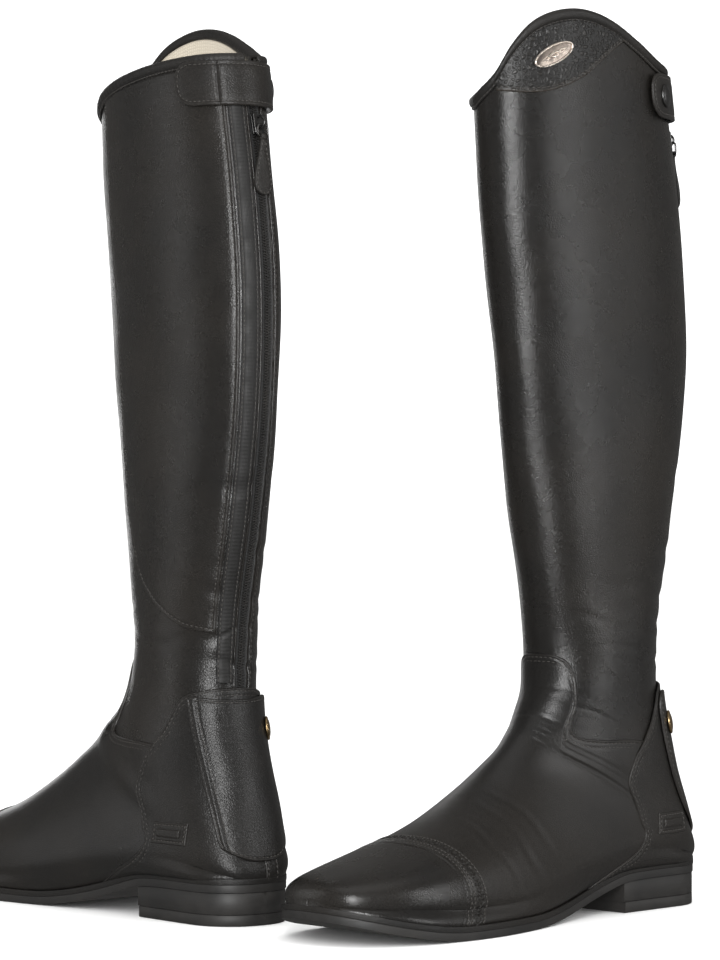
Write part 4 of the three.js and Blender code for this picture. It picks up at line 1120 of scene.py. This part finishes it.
def make_slider(boot):
    here = slider_frame(boot)
    shield = rounded_outline([(4.2, 5.6), (-4.2, 5.6), (-3.5, -6.2), (3.5, -6.2)], 1.3)
    lower = prism(shield, 0.0, 1.1, 0.35)
    upper = prism(shield, 1.7, SLIDER_FACE, 0.45)
    core = prism(rounded_outline([(1.6, 5.0), (-1.6, 5.0), (-1.1, -1.5), (1.1, -1.5)], 0.6), 0.9, 1.9, 0.1)
    t = np.linspace(0, 1, 17)
    bow_y = 4.0 - 7.7 * t
    bow_z = SLIDER_FACE - 0.7 + 4.5 * np.sin(math.pi * np.clip(t * 1.02, 0, 1)) ** 0.55
    bail = tube(np.stack([np.zeros(17), bow_y, bow_z], 1), 0.7, 10)
    parts = [placed(part, here) for part in (lower, upper, core, bail)]
    add_piece(boot, "zip_slider", parts, "gunmetal", ["zip_slider"], "zip_slider", sharp=50)


def make_pull(boot):
    here = shifted(slider_frame(boot), y=-1.6, z=PULL_AXIS, lean=PULL_LEAN)
    w, h = RING_HALF_WIDTH, RING_HEIGHT
    outline = rounded_outline([(w, 0), (-w, 0), (-w, -h), (w, -h)], 1.8, 6)
    ring = tube(np.column_stack([outline, np.zeros(len(outline))]), RING_WIRE, 10, closed=True)
    add_piece(boot, "zip_ring", [placed(ring, here)], "gunmetal", ["zip_ring"], "zip_pull")
    turn = np.linspace(0, 2 * math.pi, 24, endpoint=False)
    wrap = [np.stack([np.full(24, x), -h + r * np.cos(turn), r * np.sin(turn)], 1)
            for x, r in ((-2.1, 1.5), (-1.95, 1.8), (1.95, 1.8), (2.1, 1.5))]
    wrap = [ring_points[::-1] for ring_points in wrap]
    leaf = tab_outline(-h)
    plate = prism(leaf, -1.0, 1.0, 0.55, 4)
    add_piece(boot, "zip_pull_tab", [placed(loft(wrap), here), placed(domed_leaf(leaf), here),
              placed(plate, here)], "pull", ["zip_pull_tab"], "zip_pull")
    sew_outline(boot, "zip_pull", here, tab_outline(-h, 1.3), 0.98)


def tab_outline(y0, inset=0.0, count=22):
    """The teardrop outline of the leather pull below its fold."""
    half, length = 6.4 - inset, 34 - inset
    t = np.linspace(0, 1, count)
    def bezier(points):
        a, b, c, d = [np.array(p, float) for p in points]
        k = t[:, None]
        return (1 - k) ** 3 * a + 3 * k * (1 - k) ** 2 * b + 3 * k * k * (1 - k) * c + k ** 3 * d
    neck = 1.9 - inset * 0.5
    left = bezier([(-neck, y0 - 1.4 - inset), (-neck - 0.7, y0 - 12), (-half, y0 - 16), (-half, y0 - 26)])
    foot = bezier([(-half, y0 - 26), (-half, y0 - length), (half, y0 - length), (half, y0 - 26)])
    right = bezier([(half, y0 - 26), (half, y0 - 16), (neck + 0.7, y0 - 12), (neck, y0 - 1.4 - inset)])
    return np.concatenate([left[:-1], foot[:-1], right])


def domed_leaf(outline):
    """A slightly padded face on both sides of the pull."""
    centre = np.array([0.0, outline[:, 1].min() + 9])
    rings = []
    for scale, z in ((0.55, 1.18), (0.72, 1.12), (0.8, 0.9), (0.8, -0.9), (0.72, -1.12), (0.55, -1.18)):
        ring = centre + (outline - centre) * [scale, scale * 0.92]
        rings.append(np.column_stack([ring, np.full(len(ring), -z)]))
    return loft(rings)


TAB_PITCH = 2.7
TAB_STITCH = 1.9


def sew_outline(boot, part, here, outline, height):
    """Stitches along a flat outline in a part's own frame, on its outer face."""
    origin, axes = here
    closed = np.vstack([outline, outline[:1]])
    travel = path_travel(closed)
    count = int(travel[-1] / TAB_PITCH)
    at = (np.arange(count) + 0.5) * travel[-1] / count
    template, faces = stitch_template(TAB_STITCH)
    for where in at:
        x, y = sample_path(where, travel, closed)
        ahead = sample_path(where + 0.4, travel, closed) - (x, y)
        ahead /= max(np.linalg.norm(ahead), 1e-6)
        local = np.array([(ahead[0], ahead[1], 0), (-ahead[1], ahead[0], 0), (0, 0, 1)])
        points = origin + (template @ local + (x, y, height)) @ axes
        threads.setdefault((boot.side, part), []).append({"points": points, "faces": faces})


# ---------------------------------------------------------------- strap and guard


def ring_panel(boot, locate, outline, core, layer, levels=(), grooves=(2.2,), extra=None):
    """A panel inside a smooth outline, built from rings that close in on a core line.
    locate(p, q) gives u and angle. Returns the part and a function for lines at a constant inset."""
    outline, core = np.asarray(outline, float), np.asarray(core, float)
    def on_surface(points):
        return boot.skin(*locate(points[..., 0], points[..., 1]))
    rim = on_surface(outline)
    ways = np.stack([on_surface(lerp(outline, core, k)) for k in np.linspace(0, 1, 9)])
    reach = np.linalg.norm(np.diff(ways, axis=0), axis=2).sum(0)
    inward = on_surface(lerp(outline, core, 0.02)) - rim
    inward /= np.linalg.norm(inward, axis=1, keepdims=True)
    tangent = np.roll(rim, -1, 0) - np.roll(rim, 1, 0)
    tangent /= np.linalg.norm(tangent, axis=1, keepdims=True)
    square = np.sqrt(np.clip(1 - (inward * tangent).sum(1) ** 2, 0.2, 1))
    def ring_share(distance):
        return np.clip(distance / (reach * square), 0, 1)
    fine = [*FINE_STEPS, *levels]
    shares = [ring_share(d) for d in fine]
    shares += [lerp(shares[-1], 1.0, k) for k in np.linspace(0, 1, 9)[1:]]
    grid = np.stack([lerp(outline, core, share[:, None]) for share in shares])
    u, angle = locate(grid[..., 0], grid[..., 1])
    distance = np.stack(shares) * (reach * square)
    height = edge_height(distance, layer, grooves)
    if extra is not None:
        height = height + extra(distance, grid)
    outer = boot.skin(u, angle, height)
    inner = boot.skin(u, angle, layer[0])
    rows, columns = outer.shape[:2]
    count = rows * columns
    faces = grid_faces(rows, columns, wrap=True) + grid_faces(rows, columns, count, flip=True, wrap=True)
    faces += walls(list(range(columns)), count)
    part = doubled(outer, inner, faces, np.exp(-distance / WEAR_REACH), grid / 1000)
    def line(inset):
        points = lerp(outline, core, ring_share(inset)[:, None])
        return locate(points[:, 0], points[:, 1])
    return part, line


def even_outline(corners, radii, step=1.2):
    """A rounded outline with evenly spaced points; every corner has its own radius."""
    points = rounded_outline(corners, radii, 16)
    points = np.vstack([points, points[:1]])
    travel = path_travel(points)
    at = np.linspace(0, travel[-1], int(travel[-1] / step), endpoint=False)
    return sample_path(at, travel, points)


STRAP = {"start": 128, "end": 246, "z": 455, "half": 12.5, "cap_angle": 128}


def strap_locator(boot):
    """Turns mm along the strap and height into a place on the boot."""
    angles = np.linspace(-118, -256, 277)
    line = boot.point(boot.place_at_height(STRAP["z"], angles), angles)
    travel = path_travel(line)
    start = np.interp(STRAP["start"], -angles, travel)
    def locate(p, q):
        angle = np.interp(p + start, travel, angles)
        return boot.place_at_height(q, angle), angle
    return locate, np.interp(STRAP["end"], -angles, travel) - start


def make_top_strap(boot):
    locate, length = strap_locator(boot)
    z, half = STRAP["z"], STRAP["half"]
    outline = even_outline([(0, z + half), (0, z - half), (length, z - half), (length, z + half)],
                           (12, 12, 12.4, 12.4), 0.5)
    middle = np.clip(outline[:, 0], 13, length - 13)
    core = np.column_stack([middle, np.full(len(middle), float(z))])
    seam_at = 25
    def folds(distance, grid):
        seam = np.exp(-((grid[..., 0] - seam_at) / 0.7) ** 2)
        bulge = 0.35 * np.exp(-((grid[..., 0] - seam_at - 3) / 2.2) ** 2) * smoothstep(distance, 0.5, 3)
        return bulge - 0.6 * seam + 0.25 * smoothstep(distance, 2.6, 6)
    part, line = ring_panel(boot, locate, outline, core, STRAP_LAYER, (5, 6, 7, 8.2), (2.3,), folds)
    add_piece(boot, "top_strap", [part], "guard", ["top_strap"], "top_strap")
    sew(boot, "top_strap", *line(2.3), 3.6, 2.7, 2.0)
    rise = np.linspace(z - half + 2.5, z + half - 2.5, 60)
    for across in (seam_at - 1.6, seam_at + 1.6):
        sew(boot, "top_strap", *locate(np.full(60, across), rise), 3.85, 2.7, 2.0)
    angle = STRAP["cap_angle"]
    u = boot.place_at_height(z, angle)
    make_snap(boot, "top_snap", u, angle, STRAP_LAYER[1] - 0.1, 0.5, 0.9, "top_strap", "gunmetal")


def make_snap(boot, name, u, angle, cap_offset, stud_offset, stud_height, part, metal):
    """A snap: a domed cap with a rolled rim on the flap, and a socket on the boot under it."""
    cap = [(0.02, 0.0), (6.3, 0.0), (6.6, 0.3), (6.6, 0.9), (6.3, 1.3), (5.8, 1.45), (5.3, 1.35), (5.0, 1.5),
           (4.2, 1.85), (3.0, 2.1), (1.5, 2.25), (0.02, 2.3)]
    here = boot.frame_at(u, angle, cap_offset)
    add_piece(boot, f"{name}_cap", [placed(lathe(cap, 48), here)], metal, [f"{name}_cap"], part,
              sharp=60)
    height = stud_height
    socket = [(0.02, 0.0), (4.9, 0.0), (5.1, height * 0.5), (4.8, height), (2.6, height), (2.4, height * 0.6),
              (0.02, height * 0.6)]
    there = boot.frame_at(u, angle, stud_offset)
    add_piece(boot, f"{name}_stud", [placed(lathe(socket, 36), there)], "brass", [f"{name}_stud"],
              sharp=60)


GUARD = {
    "seam_top": 133, "seam_bottom": 143, "end": 239, "top": 6.95, "bottom": 9.25, "cap_u": 7.4,
    "cap_angle": 138, "width": 78.0, "height": 90.0,
}


def make_zip_guard(boot):
    """The flap over the foot of the zip: a thick double seam in front, a snap behind."""
    width, height = GUARD["width"], GUARD["height"]
    def locate(p, q):
        drop = q / height
        seam = lerp(GUARD["seam_top"], GUARD["seam_bottom"], drop)
        return lerp(GUARD["top"], GUARD["bottom"], drop), -lerp(seam, GUARD["end"], p / width)
    outline = even_outline([(0, 0), (0, height), (width, height), (width, 0)], (3, 4, 44, 15), 0.8)
    core = np.column_stack([np.full(len(outline), 34.0), np.clip(outline[:, 1], 28, 52)])
    def roll(distance, grid):
        across = grid[..., 0] * 1.05
        ridge = 0.75 * np.exp(-((across - 4.6) / 1.7) ** 4) * smoothstep(distance, 0.3, 1.6)
        return ridge - 0.35 * np.exp(-((across - 7.4) / 0.6) ** 2)
    part, line = ring_panel(boot, locate, outline, core, GUARD_LAYER, (5, 5.8, 6.6, 7.2, 7.8, 8.6, 10, 12),
                            (1.9,), roll)
    add_piece(boot, "zip_guard", [part], "guard", ["zip_guard"], "zip_guard")
    sew(boot, "zip_guard", *line(1.9), 4.1, 2.8, 2.0)
    drop = np.linspace(3, height - 3, 160)
    sew(boot, "zip_guard", *locate(np.full(160, 7.1), drop), 4.1, 2.8, 2.0)
    make_snap(boot, "guard_snap", GUARD["cap_u"], GUARD["cap_angle"], GUARD_LAYER[1] - 0.1, 2.2, 0.5,
              "zip_guard", "brass")


# ---------------------------------------------------------------- foot


def vamp_place(s, t):
    side = 2 * s - 1
    u = lerp(vamp_top(side * (COUNTER_FRONT - 1.2)), toe_seam(side * FEATHER_ANGLE) + 0.05, t)
    return u, side * (panel_edge(u) + 2.0 * smoothstep(t, 0.02, 0.12))


def make_vamp(boot):
    part = panel(boot, vamp_place, spread(235, 1.3, (False, False)), spread(205, 1.7, (True, False)),
                 VAMP_LAYER, "t", (1.8, 4.2))
    add_piece(boot, "vamp", [part], "foot", ["vamp"])
    for inset in (1.8, 4.2):
        sew_edge(boot, vamp_place, "t", inset, 1.05, count=500)


def cap_place(s, t):
    rounded = 1 - (1 - t) ** 1.5
    angle = (2 * s - 1) * FEATHER_ANGLE
    return lerp(toe_seam(angle) - 0.01, TIP, rounded), angle


def make_toe_cap(boot):
    def lines(across, down, u, angle):
        return -0.32 * np.exp(-((down - 5.0) / 0.45) ** 2) + 0.16 * np.exp(-((down - 4.2) / 0.5) ** 2)
    rows = np.concatenate([spread(140, 1.6, (True, False)), np.arange(3.2, 6.8, 0.3) / 140])
    rows = np.unique(rows)
    part = panel(boot, cap_place, spread(215, 1.6, (False, False)), rows, LAP_LAYER, "t", (1.6,), lines)
    add_piece(boot, "toe_cap", [part], "toe", ["toe_cap"])
    sew_edge(boot, cap_place, "t", 1.6, 1.9, count=500, stitch=(2.5, 1.8))


BAND_WIDTH = 8.4
# The band's two edges, as u from the toe cap's seam.
BAND_EDGES = (-0.275, -0.004)


def band_place(s, t):
    angle = (2 * s - 1) * FEATHER_ANGLE
    return toe_seam(angle) + lerp(*BAND_EDGES, t), angle


def make_brogue_band(boot):
    """The punched band behind the toe cap: one large hole between pairs of small ones."""
    pattern = [(0.0, 0.0, 1.05), (2.9, 1.15, 0.55), (2.9, -1.15, 0.55)]
    pitch = 5.8
    def holes(across, down, u, angle):
        length = across[:, -1:]
        total = length.mean()
        count = round(total / pitch)
        x = (across / length * count) % 1 * pitch
        y = down / down[-1:, :] * BAND_WIDTH - BAND_WIDTH / 2
        depth = np.zeros(u.shape)
        for hole_x, hole_y, radius in pattern:
            away_x = (x - hole_x + pitch / 2) % pitch - pitch / 2
            away = np.hypot(away_x, y - hole_y) / radius
            depth = np.maximum(depth, np.clip((1.25 - away) / 0.45, 0, 1))
            depth = depth - 0.12 * np.exp(-((away - 1.5) / 0.25) ** 2)
        return -0.85 * depth
    part = panel(boot, band_place, np.linspace(0, 1, 640), spread(BAND_WIDTH, 0.33), (1.0, 2.0), "tb", (1.3,),
                 holes)
    add_piece(boot, "brogue_band", [part], "foot")
    for side in "tb":
        sew_edge(boot, band_place, side, 1.3, 1.75, count=500, stitch=(2.4, 1.7))


def counter_place(s, t):
    side = 2 * s - 1
    reach = np.abs(side)
    top_angle = lerp(180, COUNTER_FRONT, reach)
    foot = lerp(COUNTER_BACK_FOOT, COUNTER_FOOT, reach ** 1.5)
    bulge = COUNTER_BULGE * 4 * t * (1 - t) * reach ** 2
    angle = lerp(top_angle, smooth_table(HEEL_FEATHER, foot), t) - bulge
    return lerp(smooth_table(COUNTER_TOP, top_angle), foot, t), np.where(side < 0, angle, 360 - angle)


def make_heel_counter(boot):
    part = panel(boot, counter_place, spread(170, 1.6), spread(90, 1.6, (True, False)), LAP_LAYER, "lrt",
                 (1.8, 4.2))
    add_piece(boot, "heel_counter", [part], "guard", ["heel_counter"])
    for inset in (1.8, 4.2):
        for side in "lr":
            sew_edge(boot, counter_place, side, inset, 1.85, 0.02, 0.97)
        sew_edge(boot, counter_place, "t", inset, 1.85, 0.01, 0.99, 400)


BACK_STRIP = {"top": 8.2, "bottom": 9.95, "half": 4.5}


def make_back_strip(boot):
    """The narrow stitched strip that carries the zip's line down the back of the heel."""
    def place(s, t):
        u = lerp(BACK_STRIP["top"], BACK_STRIP["bottom"], t)
        return u, boot.back_angle(u, lerp(ZIP_Y - BACK_STRIP["half"], ZIP_Y + BACK_STRIP["half"], s))
    part = panel(boot, place, spread(9, 0.8), spread(62, 1.2), (2.0, 2.8), "lrb", (1.5,))
    add_piece(boot, "back_strip", [part], "guard")
    for side in "lr":
        sew_edge(boot, place, side, 1.5, 2.6)


def on_side(boot, x, z, side):
    """Place on one side of the boot at a given x and z."""
    u, angle = np.full(np.shape(x), 9.0), np.full(np.shape(x), 100.0)
    for _ in range(12):
        here = boot.point(u, side * angle)
        along_u = (boot.point(u + 0.05, side * angle) - here) / 0.05
        along_a = boot.point(u, side * (angle + 1)) - here
        det = along_u[..., 0] * along_a[..., 2] - along_u[..., 2] * along_a[..., 0]
        dx, dz = x - here[..., 0], z - here[..., 2]
        u = u + (dx * along_a[..., 2] - dz * along_a[..., 0]) / det
        angle = angle + (along_u[..., 0] * dz - along_u[..., 2] * dx) / det
    return u, side * angle


def make_spur_rest(boot, name, side):
    """A small raised bar inside a stitched rectangular patch."""
    centre_x, centre_z = 41.0, 48.0
    def rectangle(width, height):
        def place(s, t):
            x = centre_x + (s - 0.5) * width
            z = centre_z - (t - 0.5) * height
            return on_side(boot, x, z, side)
        return place
    patch = rectangle(25, 12)
    bar = rectangle(17, 5)
    across = spread(25, 0.7)
    parts = [panel(boot, patch, across, spread(12, 0.7), (1.9, 2.9), "lrtb", (1.6,)),
             panel(boot, bar, spread(17, 0.7), spread(5, 0.7, (False, False)), (2.5, 3.9), "lrtb", ())]
    if side < 0:
        parts = [{**part, "faces": [face[::-1] for face in part["faces"]]} for part in parts]
    add_piece(boot, f"spur_rest_{name}", parts, "guard", [f"spur_rest_{name}"])
    for edge in "lrtb":
        sew_edge(boot, patch, edge, 1.6, 2.75, 0.08, 0.92, 60, (2.3, 1.7))


# ---------------------------------------------------------------- sole


def sole_half_width(x, column, inset):
    heel_radius, toe_radius = HEEL_RADIUS - inset, TOE_RADIUS - inset
    heel = np.clip((HEEL_BACK_X + inset + heel_radius - x) / heel_radius, 0, 1)
    toe = np.clip((x - (TOE_TIP_X - inset - toe_radius)) / toe_radius, 0, 1)
    ends = ((1 - heel ** ROUND_POWER) * (1 - toe ** ROUND_POWER)) ** (1 / ROUND_POWER)
    return (smooth_table(SOLE_WIDTHS, x, column) - inset) * ends


def sole_loop(boot, start, end, inset, height, count, round_front=True):
    """One closed loop round the sole at an inset; height is a function of x."""
    k = np.linspace(0, 1, count)
    x = start + inset + (end - start - inset * (2 if round_front else 1)) * (
        (1 - np.cos(k * math.pi)) / 2 if round_front else 1 - np.cos(k * math.pi / 2))
    outer = boot.turned(x, sole_half_width(x, 1, inset), height(x))
    inner = boot.turned(x, -sole_half_width(x, 2, inset), height(x))
    return np.concatenate([outer, inner[::-1]])


def strip_caps(rows, count):
    """Faces across the first and last loop, in strips from one side of the sole to the other."""
    total, top = 2 * count, (rows - 1) * 2 * count
    faces = []
    for k in range(count - 1):
        a, b, c, d = k, k + 1, total - 2 - k, total - 1 - k
        faces += [[a, b, c, d], [top + d, top + c, top + b, top + a]]
    return faces


def sole_plate(boot, start, end, levels, count=110, round_front=True, scale=1.0):
    """A sole part from levels of (inset, height function), bottom first, with strip caps."""
    rings = [sole_loop(boot, start, end, inset, height, count, round_front) for inset, height in levels]
    part = loft(rings, caps=False)
    part["faces"] += strip_caps(len(rings), count)
    rims = np.zeros(len(rings))
    rims[[1, 2, -3, -2]] = 1.0
    part["wear"] = np.repeat(rims, 2 * count) * 0.8 * scale
    return part


def capped(levels):
    """Adds a loop 3 mm further in at both ends, where the strip caps begin."""
    (low, under), (high, over) = levels[0], levels[-1]
    return [(low + 3, under), *levels, (high + 3, over)]


def rounded_levels(bottom, top, inset, radius, steps=4):
    """Levels of a plate with rounded edges between two height functions."""
    turn = np.linspace(0, math.pi / 2, steps + 1)
    levels = []
    for face, sign, turns in ((bottom, 1, turn[::-1]), (top, -1, turn)):
        for k in turns:
            lift, tuck = sign * radius * (1 - math.sin(k)), radius * (1 - math.cos(k))
            levels.append((inset + tuck, lambda x, face=face, lift=lift: face(x) + lift))
    return capped(levels)


def make_sole(boot):
    def over(x):
        return sole_underside(x) + OUTSOLE + 0.1
    outsole = sole_plate(boot, HEEL_BACK_X, TOE_TIP_X, rounded_levels(sole_underside, over, 0, 0.2))
    add_piece(boot, "outsole", [outsole], "rubber", ["outsole"], sharp=70)
    def welt_low(x):
        return sole_underside(x) + OUTSOLE + 0.12
    def welt_high(x):
        return sole_underside(x) + OUTSOLE + SOLE_GAP + WELT
    levels = rounded_levels(welt_low, welt_high, -0.25, 0.3)
    welt = sole_plate(boot, HEEL_BACK_X + 0.3, TOE_TIP_X - 0.3, levels)
    add_piece(boot, "welt", [welt], "welt", ["welt"], sharp=70)


def heel_levels(low, high, inset=0.5):
    """Levels of one part of the heel: upright sides with finely rounded edges."""
    sides = [(inset + 0.3, low, 0.0), (inset, low, 0.3), (inset, high, -0.25), (inset + 0.25, high, 0.0)]
    return capped([(tuck, lambda x, z=z, lift=lift: z(x) + lift) for tuck, z, lift in sides])


def level_at(height):
    return lambda x: height + 0.0 * x


def make_heel(boot):
    block = sole_plate(boot, HEEL_BACK_X, HEEL_BREAST_X, heel_levels(
        level_at(TOP_LIFT + 0.12), lambda x: sole_underside(x) - 0.1), 60, False, 0.4)
    add_piece(boot, "heel_block", [block], "heel", ["heel_block"], sharp=50)
    top_lift = sole_plate(boot, HEEL_BACK_X, HEEL_BREAST_X - 1, heel_levels(
        level_at(0.0), level_at(TOP_LIFT)), 60, False, 0.4)
    add_piece(boot, "heel_top_lift", [top_lift], "lift", ["heel_top_lift"], sharp=50)


def make_insole(boot):
    base = OUTSOLE + WELT + 3 * SOLE_GAP
    def inset_at(x):
        return lerp(15, 24, np.clip((x - HEEL_BREAST_X) / 130, 0, 1))
    start, end, count = 28, 248, 60
    x = start + (end - start) * (1 - np.cos(np.linspace(0, math.pi, count))) / 2
    rings = []
    for tuck, lift in ((1.2, 0.0), (0.3, 0.3), (0.0, 1.2), (0.3, 2.1), (1.2, 2.4)):
        ends = np.clip(1 - np.abs(2 * (x - start) / (end - start) - 1) ** 6, 0, 1) ** 0.5
        outer = (sole_half_width(x, 1, inset_at(x)) - tuck) * ends
        inner = (sole_half_width(x, 2, inset_at(x)) - tuck) * ends
        z = sole_underside(x) + base + lift
        rings.append(np.concatenate([boot.turned(x, outer, z), boot.turned(x, -inner, z)[::-1]]))
    part = loft(rings, caps=False)
    part["faces"] += strip_caps(len(rings), count)
    part["uv"] = part["points"][:, :2] / 1000
    add_piece(boot, "insole", [part], "insole", ["insole"], sharp=60)


# ---------------------------------------------------------------- assembly


def make_stitching(boot):
    for (side, part), rows in threads.items():
        if side == boot.side:
            add_piece(boot, f"stitching_{part}", rows, "thread", part=part)


for boot in (LEFT, RIGHT):
    make_shaft(boot)
    make_lining(boot)
    make_top_binding(boot)
    make_crown_patch(boot)
    make_badge(boot)
    make_calf_guard(boot)
    make_elastic_panel(boot)
    make_zip(boot)
    make_slider(boot)
    make_pull(boot)
    make_top_strap(boot)
    make_zip_guard(boot)
    make_vamp(boot)
    make_toe_cap(boot)
    make_brogue_band(boot)
    make_heel_counter(boot)
    make_back_strip(boot)
    make_spur_rest(boot, "outer", 1)
    make_spur_rest(boot, "inner", -1)
    make_sole(boot)
    make_heel(boot)
    make_insole(boot)
    make_stitching(boot)

# ---------------------------------------------------------------- studio


FLOOR_RADIUS = 60
AIM_HEIGHT = 0.25


def make_floor():
    mesh = bpy.data.meshes.new("floor")
    steps = 96
    turn = np.arange(steps) * 2 * math.pi / steps
    part = loft([np.stack([r * np.cos(turn), r * np.sin(turn), np.full(steps, -0.0002)], 1)
                 for r in (0.01, 2, FLOOR_RADIUS)])
    mesh.from_pydata(part["points"].tolist(), [], part["faces"][:-1])
    n = Nodes("studio_floor")
    shade = n.noise(3, 2)
    colour = n.blended(shade, (0.88, 0.88, 0.875, 1), (0.9, 0.9, 0.895, 1))
    mesh.materials.append(n.finish(base_color=colour, roughness=n.ranged(shade, 0.3, 0.7, 0.75, 0.85)))
    floor = bpy.data.objects.new("floor", mesh)
    bpy.context.collection.objects.link(floor)
    floor.visible_glossy = False


def make_world():
    world = bpy.data.worlds.new("studio")
    bpy.context.scene.world = world
    world.use_nodes = True
    tree = world.node_tree
    background = tree.nodes["Background"]
    background.inputs["Color"].default_value = (1.0, 1.0, 1.0, 1)
    background.inputs["Strength"].default_value = 1.55
    mirrored = tree.nodes.new("ShaderNodeBackground")
    mirrored.inputs["Color"].default_value = (1.0, 0.98, 0.95, 1)
    mirrored.inputs["Strength"].default_value = 0.16
    paths = tree.nodes.new("ShaderNodeLightPath")
    mix = tree.nodes.new("ShaderNodeMixShader")
    tree.links.new(paths.outputs["Is Glossy Ray"], mix.inputs[0])
    tree.links.new(background.outputs[0], mix.inputs[1])
    tree.links.new(mirrored.outputs[0], mix.inputs[2])
    tree.links.new(mix.outputs[0], tree.nodes["World Output"].inputs["Surface"])


def make_light(name, azimuth, distance, height, width, length, power):
    """A soft box that stands at an azimuth round the pair, counted from the front to the right."""
    data = bpy.data.lights.new(name, "AREA")
    data.shape = "RECTANGLE"
    data.size, data.size_y = width, length
    data.energy = power
    light = bpy.data.objects.new(name, data)
    turn = math.radians(azimuth)
    light.location = (math.sin(turn) * distance, -math.cos(turn) * distance, height)
    aim = bpy.data.objects.new(f"{name}_aim", None)
    aim.location = (0, 0, AIM_HEIGHT)
    bpy.context.collection.objects.link(aim)
    track = light.constraints.new("TRACK_TO")
    track.target = aim
    track.track_axis, track.up_axis = "TRACK_NEGATIVE_Z", "UP_Y"
    light.visible_camera = False
    bpy.context.collection.objects.link(light)


make_floor()
make_world()
make_light("key_strip", -3, 1.9, 0.5, 0.12, 1.5, 42)
make_light("second_strip", 62, 1.9, 0.55, 0.16, 1.5, 9.5)
make_light("left_strip", -88, 1.7, 0.5, 0.25, 1.4, 2.5)
make_light("right_strip", 88, 1.8, 0.5, 0.3, 1.4, 2.0)
make_light("back_strip", 200, 1.9, 0.6, 0.3, 1.4, 3)
make_light("overhead", 0, 0.3, 2.2, 1.6, 1.6, 5)
bpy.context.scene.view_settings.view_transform = "Standard"
